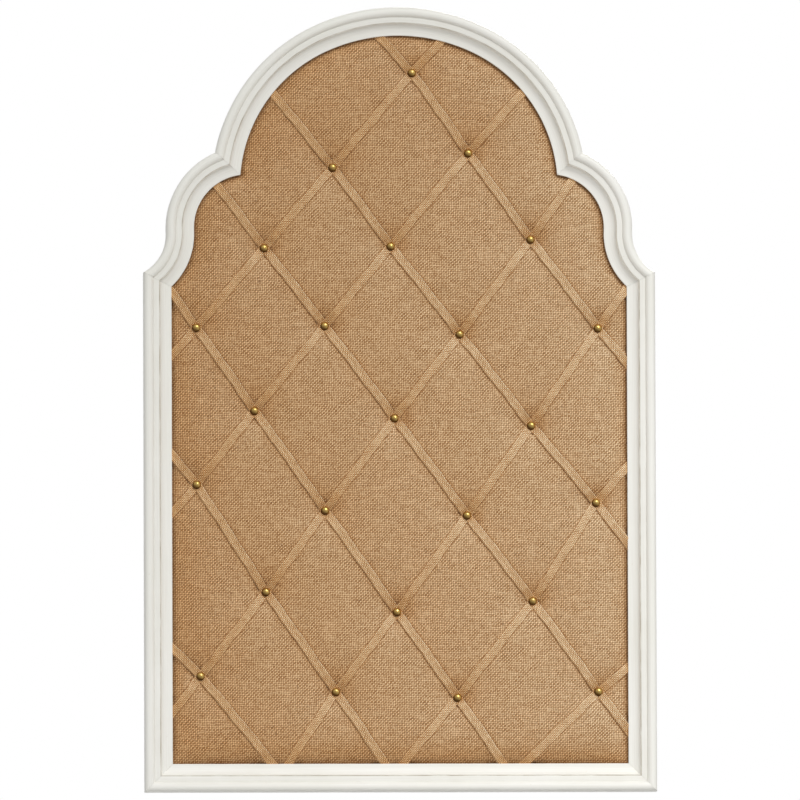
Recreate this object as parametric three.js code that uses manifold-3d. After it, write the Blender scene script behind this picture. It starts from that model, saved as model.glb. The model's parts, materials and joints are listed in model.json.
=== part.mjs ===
// A memo board in an arched, shouldered picture frame: a padded burlap panel crossed by ribbons and nails.
// Lengths are in millimetres and angles in degrees. Pieces are drawn with x to the right, y up from the
// frame's bottom edge and z forward from the frame's back. One group then turns them so that +Z is up and
// the front faces -Y, with the origin on the wall, midway between the two hooks that carry the board.

import * as THREE from 'three';
import { mergeVertices } from 'three/addons/utils/BufferGeometryUtils.js';
import Module from 'manifold-3d';

// Overall size of the frame
const WIDTH = 610;
const HEIGHT = 936;

// Outline of the arched top
const SHOULDER_RADIUS = 97;
const SHOULDER_SETBACK = 27; // from the stile's outer face in to the shoulder's widest point
const SHOULDER_DROP = 263; // from the top of the crown down to the shoulder's centre
const SHOULDER_TILT = 2.8; // fall of the line from the shoulder's centre to the waist's
const WAIST_RADIUS = 53;
const HAUNCH_RADIUS = 211;
const HAUNCH_SPREAD = 169; // from the shoulder's centre in to the haunch's
const CROWN_HALF_ANGLE = 25;

// Moulding section, from the outer edge inward
const FACE_WIDTH = 33.5;
const BEAD_WIDTH = 12.1;
const BEAD_RISE = 6.5;
const FILLET_DROP = 4.5; // from the top of the bead down to the fillet
const QUIRK_DROP = 0.4; // small step between the fillet and the cove
const COVE_WIDTH = 14;
const COVE_DROP = 8.1;
const LIP_WIDTH = 9.5; // how far the lip covers the panel
const LIP_THICKNESS = 4;

// Frame joints
const JOINT_GAP = 0.3;
const SPLINE_LENGTH = 18;
const SPLINE_WIDTH = 9;
const SPLINE_THICKNESS = 4;
const SPLINE_CLEARANCE = 0.3;

// Layers of the panel, from the back forward
const SEAT_GAP = 0.3; // between faces that rest on each other
const PANEL_CLEARANCE = 2; // between the rabbet and what lies in it
const BACK_COVER_THICKNESS = 2.4;
const BOARD_THICKNESS = 5;
const BATTING_RIM = 3; // batting squeezed under the frame's lip
const COVER_THICKNESS = 0.9;
const COVER_RETURN = 22; // width of the cover's edge turned behind the board
const RIBBON_THICKNESS = 0.7;
const RIBBON_WIDTH = 9.5;

// Padding, measured from the flat rim under the lip
const RIM_REVEAL = 3.5; // flat rim that shows inside the lip
const NAIL_DIP = 0.8;
const CHANNEL_RISE = 2.2; // along a ribbon, half way between two nails
const PILLOW_RISE = 4.2; // in the middle of a diamond
const PILLOW_RUN = 30; // distance from the edges at which a cut diamond is full height
const PILLOW_CORE = 0.5; // size of a diamond's level middle, as a share of the diamond

// Nails: a diamond lattice of rows from the crown down, and how far each nail was set off it by hand
const NAIL_SIDE_MARGIN = 31.5; // from the lip's edge to the outer columns
const NAIL_TOP_MARGIN = 44.5;
const NAIL_BOTTOM_MARGIN = 88.5;
const NAIL_COLUMNS = 3; // columns on each side of the middle one
const NAIL_DRIFT = [
  [[16, 0]],
  [[1, -8], [3, 9]],
  [[-1, 1], [-10, 3], [-3, 11]],
  [[-2, 11], [-9, 13], [-8, 3], [-3, 10]],
  [[-13, 17], [-6, 8], [-3, -1]],
  [[-2, 34], [-9, 3], [0, -3], [-6, 12]],
  [[0, 11], [-4, -13], [-2, 0]],
  [[2, 16], [3, -3], [-12, -10], [-4, -3]],
];
const NAIL_HEAD_DIAMETER = 10.5;
const NAIL_HEAD_RISE = 3.4;
const NAIL_SHANK_DIAMETER = 2;
const NAIL_POINT = 2.5; // length of the taper at the tip
const NAIL_BITE = 3.7; // depth driven into the board
const NAIL_CLEARANCE = 0.3;

// Ribbons: the slope of each at its upper end, from its first nail to the frame, and then the same at its
// lower end for those that run to a stile, or how far from a nail column it meets the bottom rail
const RIGHT_FALL_TOP_SLOPES = [47.5, 51.2, 53.3, 55.5, 50.4, 44.8];
const RIGHT_FALL_SIDE_SLOPES = [50.7, 52.9, 52.6];
const RIGHT_FALL_FEET = [-38, -19, 7];
const LEFT_FALL_TOP_SLOPES = [47, 48.2, 54.7, 54.6, 48.8, 39];
const LEFT_FALL_SIDE_SLOPES = [48.4, 49.2, 52.4];
const LEFT_FALL_FEET = [26, 2, -12];
const FLAT_END_SHARE = 0.6; // how far along its last stretch a ribbon has come down to the rim
const RIBBON_TUCK = 3.5; // how far a ribbon's end goes under the lip

// Hangers on the backs of the stiles
const HANGER_DROP = 59; // from the top of the stile down to the ring's axis
const RING_WIRE = 2.5;
const RING_WIDTH = 18;
const RING_HEIGHT = 15;
const RING_CORNER = 3.5;
const LOOP_CLEARANCE = 0.3; // between the ring's bar and the loop round it
const LOOP_TURN = 295; // how far the strap's end is curled round the bar
const STRAP_SIDE_PLAY = 1; // between the loop and the ring's corners
const STRAP_LENGTH = 32;
const STRAP_THICKNESS = 1.2;
const SCREW_DROP = 24; // from the ring's axis down to the screw
const SCREW_DIAMETER = 3.5;
const SCREW_HEAD_DIAMETER = 7;
const SCREW_HEAD_RISE = 2.2;
const SCREW_BITE = 10;
const SCREW_CLEARANCE = 0.3;

// Wall bumpers at the ends of the bottom rail
const BUMPER_DIAMETER = 12;
const BUMPER_TAPER = 1; // how much smaller in radius its outer face is
const BUMPER_HEIGHT = 6.7;
const BUMPER_SETBACK = 40; // from the frame's side to the bumper

// Facets on the round stretches of the frame and, coarser, of the layers inside it
const FRAME_STEPS = { waist: 5, shoulder: 9, haunch: 6, crown: 5 };
const PANEL_STEPS = { waist: 3, shoulder: 5, haunch: 4, crown: 3 };
const BEAD_STEPS = 6;
const COVE_STEPS = 5;
const NAIL_SIDES = 8;
const WIRE_SIDES = 8;
const SCREW_SIDES = 12;
const BUMPER_SIDES = 16;

// Heights above the frame's back, each resting on the one before
const backCoverBottom = SEAT_GAP;
const returnBottom = backCoverBottom + BACK_COVER_THICKNESS + SEAT_GAP;
const returnTop = returnBottom + COVER_THICKNESS;
const boardBottom = returnTop + SEAT_GAP;
const boardTop = boardBottom + BOARD_THICKNESS;
const battingBottom = boardTop + SEAT_GAP;
const battingTop = battingBottom + BATTING_RIM;
const coverInside = battingTop + SEAT_GAP;
const coverTop = coverInside + COVER_THICKNESS;
const ribbonBottom = coverTop + SEAT_GAP;
const ribbonStep = RIBBON_THICKNESS + SEAT_GAP;
const lipBottom = ribbonBottom + RIBBON_THICKNESS + SEAT_GAP;
const sightHeight = lipBottom + LIP_THICKNESS;
const coveHeight = sightHeight + COVE_DROP;
const filletHeight = coveHeight + QUIRK_DROP;
const beadHeight = filletHeight + FILLET_DROP;
const nailHeadBottom = ribbonBottom - NAIL_DIP + 2 * ribbonStep;

// Distances in from the frame's outer edge
const rabbetInset = FACE_WIDTH - LIP_WIDTH;
const solidMiddle = rabbetInset / 2;
const coverInset = rabbetInset + PANEL_CLEARANCE;
const coverInnerInset = coverInset + COVER_THICKNESS;
const boardInset = coverInnerInset + SEAT_GAP;
const rimInset = FACE_WIDTH + RIM_REVEAL;

// Depths behind the frame's back
const ringAxisDepth = SEAT_GAP + STRAP_THICKNESS + LOOP_CLEARANCE + RING_WIRE / 2;
const wallDepth = SEAT_GAP + BUMPER_HEIGHT;

const { degToRad } = THREE.MathUtils;
const plan = (x, y) => new THREE.Vector2(x, y);
const polar = (centre, radius, angle) =>
  plan(centre.x + radius * Math.cos(angle), centre.y + radius * Math.sin(angle));
const bearing = (from, to) => Math.atan2(to.y - from.y, to.x - from.x);
const raise = (point, height) => new THREE.Vector3(point.x, point.y, height);

// Closed bodies from triangles, and cuts between them

const wasm = await Module();
wasm.setup();

function signedVolume(corners) {
  let volume = 0;
  for (let k = 0; k < corners.length; k += 3) {
    volume += corners[k].dot(corners[k + 1].clone().cross(corners[k + 2])) / 6;
  }
  return volume;
}

// A geometry from a list of triangle corners, turned to face outward.
function bodyOf(corners) {
  const facing = signedVolume(corners) > 0 ? corners : corners.slice().reverse();
  return mergeVertices(new THREE.BufferGeometry().setFromPoints(facing));
}

function toManifold(geometry) {
  const bare = geometry.clone();
  bare.deleteAttribute('normal');
  bare.deleteAttribute('uv');
  const merged = mergeVertices(bare);
  return new wasm.Manifold(new wasm.Mesh({
    numProp: 3,
    vertProperties: new Float32Array(merged.attributes.position.array),
    triVerts: new Uint32Array(merged.index.array),
  }));
}

function cutAway(geometry, cutters) {
  const left = cutters.reduce((solid, cutter) => solid.subtract(toManifold(cutter)), toManifold(geometry));
  const mesh = left.getMesh();
  const result = new THREE.BufferGeometry();
  result.setAttribute('position', new THREE.BufferAttribute(new Float32Array(mesh.vertProperties), mesh.numProp));
  result.setIndex(new THREE.BufferAttribute(new Uint32Array(mesh.triVerts), 1));
  return result;
}

// Triangles between two closed loops of as many points.
function addBand(corners, lower, upper) {
  for (let k = 0; k < lower.length; k += 1) {
    const next = (k + 1) % lower.length;
    corners.push(lower[k], lower[next], upper[next], lower[k], upper[next], upper[k]);
  }
}

// Triangles that fill a flat loop, as places along it that turn the same way as the loop.
function fill(flat) {
  return THREE.ShapeUtils.triangulateShape(flat.slice(), []).map((face) => face.sort((a, b) => a - b));
}

// A loop's own face, turned with the loop or, when it is flipped, against it.
function addFace(corners, flat, loop, flipped) {
  fill(flat).forEach(([a, b, c]) => corners.push(loop[a], loop[flipped ? c : b], loop[flipped ? b : c]));
}

// A body through a row of like sections, with a face at each end.
function sweep(sections, flatSection) {
  const corners = [];
  for (let k = 1; k < sections.length; k += 1) {
    addBand(corners, sections[k - 1], sections[k]);
  }
  addFace(corners, flatSection, sections[0], true);
  addFace(corners, flatSection, sections[sections.length - 1], false);
  return bodyOf(corners);
}

// Outline of the frame, as a ring at any distance in from the outer edge

const halfWidth = WIDTH / 2;
const tilt = degToRad(SHOULDER_TILT);
const crownAngle = degToRad(CROWN_HALF_ANGLE);
const shoulderCentre = plan(halfWidth - SHOULDER_SETBACK - SHOULDER_RADIUS, HEIGHT - SHOULDER_DROP);
const waistCentre = polar(shoulderCentre, SHOULDER_RADIUS + WAIST_RADIUS, -tilt);
const haunchX = shoulderCentre.x - HAUNCH_SPREAD;
const crownRadius = HAUNCH_RADIUS + haunchX / Math.sin(crownAngle);
const crownCentre = plan(0, HEIGHT - crownRadius);
const haunchCentre = polar(crownCentre, crownRadius - HAUNCH_RADIUS, Math.PI / 2 - crownAngle);

// The upper of the two points where circles meet, for a first circle to the left of the second.
function meet(first, firstRadius, second, secondRadius) {
  const apart = first.distanceTo(second);
  const along = (firstRadius ** 2 - secondRadius ** 2 + apart ** 2) / (2 * apart);
  return polar(first, firstRadius, bearing(first, second) + Math.acos(along / firstRadius));
}

// Points along an arc, without its first.
function arc(centre, radius, from, to, steps) {
  const points = [];
  for (let k = 1; k <= steps; k += 1) {
    points.push(polar(centre, radius, from + ((to - from) * k) / steps));
  }
  return points;
}

function rightHalf(inset, steps) {
  const side = halfWidth - inset;
  const waist = WAIST_RADIUS + inset;
  const shoulder = SHOULDER_RADIUS - inset;
  const haunch = HAUNCH_RADIUS - inset;
  const waistStart = Math.PI + Math.acos((waistCentre.x - side) / waist);
  const cusp = meet(haunchCentre, haunch, shoulderCentre, shoulder);
  const crownStart = Math.PI / 2 - crownAngle;
  return [
    plan(side, inset),
    polar(waistCentre, waist, waistStart),
    ...arc(waistCentre, waist, waistStart, Math.PI - tilt, steps.waist),
    ...arc(shoulderCentre, shoulder, -tilt, bearing(shoulderCentre, cusp), steps.shoulder),
    ...arc(haunchCentre, haunch, bearing(haunchCentre, cusp), crownStart, steps.haunch),
    ...arc(crownCentre, crownRadius - inset, crownStart, Math.PI / 2, steps.crown),
  ];
}

// The whole ring, from the bottom right corner up, over the crown and down to the bottom left corner.
function outline(inset, steps) {
  const right = rightHalf(inset, steps);
  const left = right.slice(0, -1).reverse().map((point) => plan(-point.x, point.y));
  return right.concat(left);
}

const outerRing = outline(0, FRAME_STEPS);
const innerRing = outline(FACE_WIDTH, FRAME_STEPS);
const stileTop = outerRing[1].y;

// Frame members, swept round the outline

function bead() {
  const base = beadHeight - BEAD_RISE;
  const end = Math.PI - Math.asin((filletHeight - base) / BEAD_RISE);
  const points = [];
  for (let k = 0; k <= BEAD_STEPS; k += 1) {
    const turn = (end * k) / BEAD_STEPS;
    points.push(plan((BEAD_WIDTH / 2) * (1 - Math.cos(turn)), base + BEAD_RISE * Math.sin(turn)));
  }
  return points;
}

function cove() {
  const points = [];
  for (let k = 0; k <= COVE_STEPS; k += 1) {
    const turn = ((Math.PI / 2) * k) / COVE_STEPS;
    points.push(plan(FACE_WIDTH - COVE_WIDTH * Math.cos(turn), coveHeight - COVE_DROP * Math.sin(turn)));
  }
  return points;
}

// The moulding's section as distances in and heights, round from the outer back edge.
const moulding = [
  plan(0, 0),
  ...bead(),
  plan(FACE_WIDTH - COVE_WIDTH, filletHeight),
  ...cove(),
  plan(FACE_WIDTH, lipBottom),
  plan(rabbetInset, lipBottom),
  plan(rabbetInset, 0),
];
const mouldingRings = moulding.map((point) => outline(point.x, FRAME_STEPS));

// Direction along the frame, square to the joint at a corner of the ring.
function jointDirection(corner) {
  const across = innerRing[corner].clone().sub(outerRing[corner]).normalize();
  return plan(across.y, -across.x);
}

// One section of a member. At a joint it stands back along the member by half the joint's gap.
function mouldingSection(station, toward) {
  const corner = station % outerRing.length;
  return moulding.map((point, k) => {
    const spot = mouldingRings[k][corner].clone();
    if (toward !== station) {
      const run = mouldingRings[k][toward % outerRing.length].clone().sub(spot).normalize();
      spot.addScaledVector(run, JOINT_GAP / 2 / Math.abs(run.dot(jointDirection(corner))));
    }
    return raise(spot, point.y);
  });
}

function member(first, last) {
  const sections = [mouldingSection(first, first + 1)];
  for (let station = first + 1; station < last; station += 1) {
    sections.push(mouldingSection(station, station));
  }
  sections.push(mouldingSection(last, last - 1));
  return sweep(sections, moulding);
}

const cuspCorner = 1 + FRAME_STEPS.waist + FRAME_STEPS.shoulder;
const lastCorner = outerRing.length - 1;
const joints = [
  { name: 'bottom_right', corner: 0 },
  { name: 'right_waist', corner: 1 },
  { name: 'right_cusp', corner: cuspCorner },
  { name: 'left_cusp', corner: lastCorner - cuspCorner },
  { name: 'left_waist', corner: lastCorner - 1 },
  { name: 'bottom_left', corner: lastCorner },
];
const memberNames = ['right_stile', 'right_shoulder', 'crown_arch', 'left_shoulder', 'left_stile', 'bottom_rail'];

// Where a joint's spline lies: in the middle of the solid wood, square across the joint.
const splineRing = outline(solidMiddle, FRAME_STEPS);
const splineHeight = lipBottom / 2;

function splineAt(joint, clearance) {
  const grow = 2 * clearance;
  const block = new THREE.BoxGeometry(SPLINE_LENGTH + grow, SPLINE_WIDTH + grow, SPLINE_THICKNESS + grow);
  const direction = jointDirection(joint.corner);
  const place = splineRing[joint.corner];
  block.rotateZ(Math.atan2(direction.y, direction.x));
  block.translate(place.x, place.y, splineHeight);
  return block;
}

// Nails on their lattice, and the ribbons through them

const columnPitch = (halfWidth - FACE_WIDTH - NAIL_SIDE_MARGIN) / NAIL_COLUMNS;
const topNail = HEIGHT - FACE_WIDTH - NAIL_TOP_MARGIN;
const rowPitch = (topNail - FACE_WIDTH - NAIL_BOTTOM_MARGIN) / (NAIL_DRIFT.length - 1);

// A nail knows the ribbon through it that falls to the right, and the one that falls to the left.
const nails = NAIL_DRIFT.flatMap((drifts, row) => drifts.map(([driftX, driftY], place) => {
  const column = 2 * place - (drifts.length - 1);
  const spot = plan(columnPitch * column + driftX, topNail - rowPitch * row + driftY);
  const name = `nail_${'abcdefgh'[row]}${place + 1}`;
  return { name, spot, rightFall: (row - column) / 2, leftFall: (row + column) / 2 };
}));

const heading = (slope, side) => plan(side * Math.cos(degToRad(slope)), -Math.sin(degToRad(slope)));

// Which way a ribbon runs through each of its nails: midway between its stretches before and after.
function headingsAt(ribbon) {
  const last = ribbon.nails.length - 1;
  const stretch = (k) => ribbon.nails[k + 1].spot.clone().sub(ribbon.nails[k].spot).normalize();
  return ribbon.nails.map((nail, k) => {
    const before = k === 0 ? ribbon.startHeading : stretch(k - 1);
    const after = k === last ? ribbon.endHeading : stretch(k);
    return before.clone().add(after).normalize();
  });
}

// Which way a ribbon leaves its last nail: at a slope to a stile, or to its foot on the bottom rail.
function lastHeading(nail, index, side, sideSlopes, feet) {
  if (index < sideSlopes.length) {
    return heading(sideSlopes[index], side);
  }
  const place = index - sideSlopes.length;
  const column = side * (feet.length - 1 - 2 * place);
  return plan(columnPitch * column + feet[place], FACE_WIDTH).sub(nail.spot).normalize();
}

function makeRibbons(topSlopes, sideSlopes, feet, side, family) {
  return topSlopes.map((topSlope, index) => {
    const own = nails.filter((nail) => nail[family] === index);
    const ribbon = {
      name: `ribbon_${side > 0 ? 'right' : 'left'}_${index + 1}`,
      family,
      nails: own,
      startHeading: heading(topSlope, side),
      endHeading: lastHeading(own[own.length - 1], index, side, sideSlopes, feet),
    };
    headingsAt(ribbon).forEach((direction, k) => {
      own[k][`${family}Heading`] = direction;
    });
    return ribbon;
  });
}

const rightFallRibbons = makeRibbons(
  RIGHT_FALL_TOP_SLOPES, RIGHT_FALL_SIDE_SLOPES, RIGHT_FALL_FEET, 1, 'rightFall');
const leftFallRibbons = makeRibbons(
  LEFT_FALL_TOP_SLOPES, LEFT_FALL_SIDE_SLOPES, LEFT_FALL_FEET, -1, 'leftFall');
const ribbons = rightFallRibbons.concat(leftFallRibbons);

// The quilted face: points with a lift above the rim, edges between them, and the faces they enclose

const quiltPoints = [];
const quiltEdges = [];
const rim = outline(rimInset, PANEL_STEPS);
const panelEdge = outline(boardInset, PANEL_STEPS);
const tuckEdge = outline(FACE_WIDTH - RIBBON_TUCK, PANEL_STEPS);

function addPoint(spot, lift) {
  quiltPoints.push({ spot, lift });
  return quiltPoints.length - 1;
}

const spotOf = (id) => quiltPoints[id].spot;

// The four corners of the patch where two ribbons cross, indexed by the side along each ribbon.
function addCrossing(nail) {
  const along = nail.rightFallHeading;
  const across = nail.leftFallHeading;
  const reach = RIBBON_WIDTH / 2 / Math.abs(along.cross(across));
  const corner = (a, b) => nail.spot.clone().addScaledVector(along, a * reach).addScaledVector(across, b * reach);
  nail.corners = [-1, 1].map((a) => [-1, 1].map((b) => addPoint(corner(a, b), -NAIL_DIP)));
}

// Where a line from a point first meets a ring: the segment, the share along it and the distance.
function firstHit(ring, from, direction) {
  let best = { distance: Infinity };
  ring.forEach((start, segment) => {
    const edge = ring[(segment + 1) % ring.length].clone().sub(start);
    const toStart = start.clone().sub(from);
    const turn = direction.cross(edge);
    const distance = toStart.cross(edge) / turn;
    const share = toStart.cross(direction) / turn;
    if (distance > 0 && distance < best.distance && share >= 0 && share < 1) {
      best = { segment, share, distance, spot: start.clone().addScaledVector(edge, share) };
    }
  });
  return best;
}

// The pair of points on a ribbon's two edges where it enters or leaves a crossing.
function crossingSide(ribbon, nail, end) {
  const { corners } = nail;
  return ribbon.family === 'rightFall' ? corners[end] : [corners[1][end], corners[0][end]];
}

const rimHits = [];

// A ribbon's last stretch, from its end nail out to the rim: a level pair of points, then the rim itself.
function addRibbonEnd(pair, outward) {
  const hits = pair.map((id) => firstHit(rim, spotOf(id), outward));
  const flatRun = FLAT_END_SHARE * Math.min(...hits.map((hit) => hit.distance));
  const level = pair.map((id) => addPoint(spotOf(id).clone().addScaledVector(outward, flatRun), 0));
  const ends = hits.map((hit) => {
    const id = addPoint(hit.spot, 0);
    rimHits.push({ ...hit, id });
    return id;
  });
  return [level, ends];
}

function addStations(ribbon) {
  const last = ribbon.nails.length - 1;
  const stations = [];
  ribbon.nails.forEach((nail, k) => {
    const entry = crossingSide(ribbon, nail, 0);
    const exit = crossingSide(ribbon, nail, 1);
    stations.push({ pair: entry, nail }, { pair: exit, nail });
    if (k < last) {
      const onward = crossingSide(ribbon, ribbon.nails[k + 1], 0);
      const middle = exit.map((id, side) => spotOf(id).clone().lerp(spotOf(onward[side]), 0.5));
      stations.push({ pair: middle.map((spot) => addPoint(spot, CHANNEL_RISE)), tied: true });
    }
  });
  const start = addRibbonEnd(stations[0].pair, ribbon.startHeading.clone().negate());
  const end = addRibbonEnd(stations[stations.length - 1].pair, ribbon.endHeading);
  stations.unshift({ pair: start[1] }, { pair: start[0], tied: true });
  stations.push({ pair: end[0], tied: true }, { pair: end[1] });
  ribbon.stations = stations;
}

function addRibbonEdges(ribbon) {
  ribbon.stations.forEach(({ pair, tied }, k) => {
    if (k > 0) {
      pair.forEach((id, side) => quiltEdges.push([ribbon.stations[k - 1].pair[side], id]));
    }
    if (tied) {
      quiltEdges.push(pair);
    }
  });
}

// The rim's own points with the ribbons' ends between them, as one chain for each side of the rim.
function addRim() {
  const corners = rim.map((spot) => addPoint(spot, 0));
  return rim.map((_, segment) => {
    const between = rimHits.filter((hit) => hit.segment === segment);
    between.sort((a, b) => a.share - b.share);
    const chain = [corners[segment], ...between.map((hit) => hit.id), corners[(segment + 1) % rim.length]];
    for (let k = 1; k < chain.length; k += 1) {
      quiltEdges.push([chain[k - 1], chain[k]]);
    }
    return chain;
  });
}

nails.forEach(addCrossing);
ribbons.forEach(addStations);
ribbons.forEach(addRibbonEdges);
const rimChains = addRim();
const rimIds = new Set(rimChains.flat());

// Every face that the edges enclose, as a loop of points to the left of its edges.
function traceFaces() {
  const around = quiltPoints.map(() => []);
  quiltEdges.forEach(([a, b]) => {
    around[a].push(b);
    around[b].push(a);
  });
  around.forEach((ids, id) => {
    ids.sort((a, b) => bearing(spotOf(id), spotOf(a)) - bearing(spotOf(id), spotOf(b)));
  });
  const walked = new Set();
  const faces = [];
  for (const [a, b] of quiltEdges.flatMap(([p, q]) => [[p, q], [q, p]])) {
    const loop = [];
    let [from, to] = [a, b];
    while (!walked.has(`${from} ${to}`)) {
      walked.add(`${from} ${to}`);
      loop.push(from);
      const ids = around[to];
      const next = ids[(ids.indexOf(from) + ids.length - 1) % ids.length];
      [from, to] = [to, next];
    }
    if (loop.length > 2 && THREE.ShapeUtils.area(loop.map(spotOf)) > 0) {
      faces.push(loop);
    }
  }
  return faces;
}

function middleOf(loop) {
  return loop.reduce((sum, id) => sum.add(spotOf(id)), plan(0, 0)).divideScalar(loop.length);
}

// Whether a spot lies under a ribbon.
function underRibbon(spot) {
  return ribbons.some(({ stations }) => stations.slice(1).some(({ pair }, k) => {
    const before = stations[k].pair;
    const loop = [before[0], pair[0], pair[1], before[1]].map(spotOf);
    const turns = loop.map((point, i) => {
      const edge = loop[(i + 1) % loop.length].clone().sub(point);
      return Math.sign(edge.cross(spot.clone().sub(point)));
    });
    return Math.abs(turns.reduce((sum, turn) => sum + turn, 0)) === loop.length;
  }));
}

// The spot in a cut diamond that lies furthest inside the lines of all its edges, and that distance.
function heartOf(loop) {
  const spots = loop.map(spotOf);
  const heart = middleOf(loop);
  let depth = 0;
  for (let step = 20; step > 0.05; step *= 0.95) {
    depth = Infinity;
    let away = null;
    spots.forEach((spot, k) => {
      const edge = spots[(k + 1) % spots.length].clone().sub(spot).normalize();
      const distance = edge.cross(heart.clone().sub(spot));
      if (distance < depth) {
        depth = distance;
        away = plan(-edge.y, edge.x);
      }
    });
    heart.addScaledVector(away, step);
  }
  return { heart, depth };
}

// A whole diamond rises to a level middle: four points drawn in from its corners.
function wholeDiamond(loop) {
  const firstCorner = loop.findIndex((id) => quiltPoints[id].lift < 0);
  const turned = loop.slice(firstCorner).concat(loop.slice(0, firstCorner));
  const middle = middleOf(loop);
  const cornerIds = turned.filter((id) => quiltPoints[id].lift < 0);
  const core = cornerIds.map((id) => addPoint(middle.clone().lerp(spotOf(id), PILLOW_CORE), PILLOW_RISE));
  const triangles = [[core[0], core[1], core[2]], [core[0], core[2], core[3]]];
  cornerIds.forEach((id, k) => {
    const side = turned[2 * k + 1];
    const next = (k + 1) % core.length;
    triangles.push([id, side, core[k]], [side, core[next], core[k]], [side, cornerIds[next], core[next]]);
  });
  return triangles;
}

// A diamond that the frame cuts rises to one point, lower where it is small.
function cutDiamond(loop) {
  const { heart, depth } = heartOf(loop);
  const top = addPoint(heart, PILLOW_RISE * Math.min(1, depth / PILLOW_RUN));
  return loop.map((id, k) => [id, loop[(k + 1) % loop.length], top]);
}

function quiltTriangles(loop) {
  if (underRibbon(middleOf(loop))) {
    return fill(loop.map(spotOf)).map((face) => face.map((k) => loop[k]));
  }
  return loop.some((id) => rimIds.has(id)) ? cutDiamond(loop) : wholeDiamond(loop);
}

const quilt = traceFaces().flatMap(quiltTriangles);

// Soft layers under the ribbons

const quiltCorner = (id, height) => raise(spotOf(id), height + quiltPoints[id].lift);

function addQuilt(corners, height, flipped) {
  quilt.forEach(([a, b, c]) => {
    const [second, third] = flipped ? [c, b] : [b, c];
    corners.push(quiltCorner(a, height), quiltCorner(second, height), quiltCorner(third, height));
  });
}

// The flat border from the rim out to a ring.
function addBorder(corners, ring, height, flipped) {
  rimChains.forEach((chain, segment) => {
    const start = raise(ring[segment], height);
    const end = raise(ring[(segment + 1) % ring.length], height);
    const inside = chain.map((id) => quiltCorner(id, height));
    const faces = [[start, end, inside[inside.length - 1]]];
    for (let k = 1; k < inside.length; k += 1) {
      faces.push([start, inside[k], inside[k - 1]]);
    }
    faces.forEach(([a, b, c]) => corners.push(a, ...(flipped ? [c, b] : [b, c])));
  });
}

const nailHole = (nail, bottom) => {
  const side = NAIL_SHANK_DIAMETER + 2 * NAIL_CLEARANCE;
  const height = nailHeadBottom + NAIL_HEAD_RISE - bottom;
  return new THREE.BoxGeometry(side, side, height).translate(nail.spot.x, nail.spot.y, bottom + height / 2);
};

// Burlap: over the front, round the edges and a little way behind the board.
function burlapCover() {
  const corners = [];
  const loops = [
    [coverInset, coverTop],
    [coverInset, returnBottom],
    [coverInset + COVER_RETURN, returnBottom],
    [coverInset + COVER_RETURN, returnTop],
    [coverInnerInset, returnTop],
    [coverInnerInset, coverInside],
  ].map(([inset, height]) => outline(inset, PANEL_STEPS).map((spot) => raise(spot, height)));
  addQuilt(corners, coverTop, false);
  addBorder(corners, loops[0], coverTop, false);
  for (let k = 1; k < loops.length; k += 1) {
    addBand(corners, loops[k], loops[k - 1]);
  }
  addBorder(corners, loops[loops.length - 1], coverInside, true);
  addQuilt(corners, coverInside, true);
  return cutAway(bodyOf(corners), nails.map((nail) => nailHole(nail, returnBottom)));
}

function batting() {
  const corners = [];
  const top = panelEdge.map((spot) => raise(spot, battingTop));
  const bottom = panelEdge.map((spot) => raise(spot, battingBottom));
  addQuilt(corners, battingTop, false);
  addBorder(corners, panelEdge, battingTop, false);
  addBand(corners, bottom, top);
  addFace(corners, panelEdge, bottom, true);
  return cutAway(bodyOf(corners), nails.map((nail) => nailHole(nail, boardBottom)));
}

function sheetBoard(ring, bottom, thickness) {
  const board = new THREE.ExtrudeGeometry(new THREE.Shape(ring), { depth: thickness, bevelEnabled: false });
  return board.translate(0, 0, bottom);
}

const nailTip = boardTop - NAIL_BITE;

function coreBoard() {
  const board = sheetBoard(panelEdge, boardBottom, BOARD_THICKNESS);
  return cutAway(board, nails.map((nail) => nailHole(nail, nailTip - SEAT_GAP)));
}

// A ribbon lies on the cover. Those that fall to the right step over the others at the crossings.
function ribbonBody(ribbon) {
  const first = ribbon.stations[0].pair;
  const last = ribbon.stations[ribbon.stations.length - 1].pair;
  const outEnd = (pair, outward) => pair.map((id) => firstHit(tuckEdge, spotOf(id), outward).spot);
  const section = ([left, right], low) => {
    const high = low + RIBBON_THICKNESS;
    return [raise(left, low), raise(right, low), raise(right, high), raise(left, high)];
  };
  const sections = ribbon.stations.map(({ pair, nail }) => {
    const step = nail && ribbon.family === 'rightFall' ? ribbonStep : 0;
    return section(pair.map(spotOf), ribbonBottom + quiltPoints[pair[0]].lift + step);
  });
  sections.unshift(section(outEnd(first, ribbon.startHeading.clone().negate()), ribbonBottom));
  sections.push(section(outEnd(last, ribbon.endHeading), ribbonBottom));
  const flat = [plan(0, 0), plan(1, 0), plan(1, 1), plan(0, 1)];
  return cutAway(sweep(sections, flat), ribbon.nails.map((nail) => nailHole(nail, boardTop)));
}

// Turned pieces, with their profiles as radius and height

const turned = (profile, sides) =>
  new THREE.LatheGeometry(profile.map(([radius, height]) => plan(radius, height)), sides).rotateX(Math.PI / 2);

function nailBody() {
  const shank = NAIL_SHANK_DIAMETER / 2;
  const head = NAIL_HEAD_DIAMETER / 2;
  const dome = (turn) => [head * Math.cos(turn), nailHeadBottom + NAIL_HEAD_RISE * Math.sin(turn)];
  return turned([
    [0, nailTip],
    [shank, nailTip + NAIL_POINT],
    [shank, nailHeadBottom],
    dome(0),
    dome(Math.PI / 6),
    dome(Math.PI / 3),
    [0, nailHeadBottom + NAIL_HEAD_RISE],
  ], NAIL_SIDES);
}

// The screw's heights run forward from the back of its head, behind the frame.
const strapBack = -(SEAT_GAP + STRAP_THICKNESS);
const screwHeadFront = strapBack - SEAT_GAP;

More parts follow.
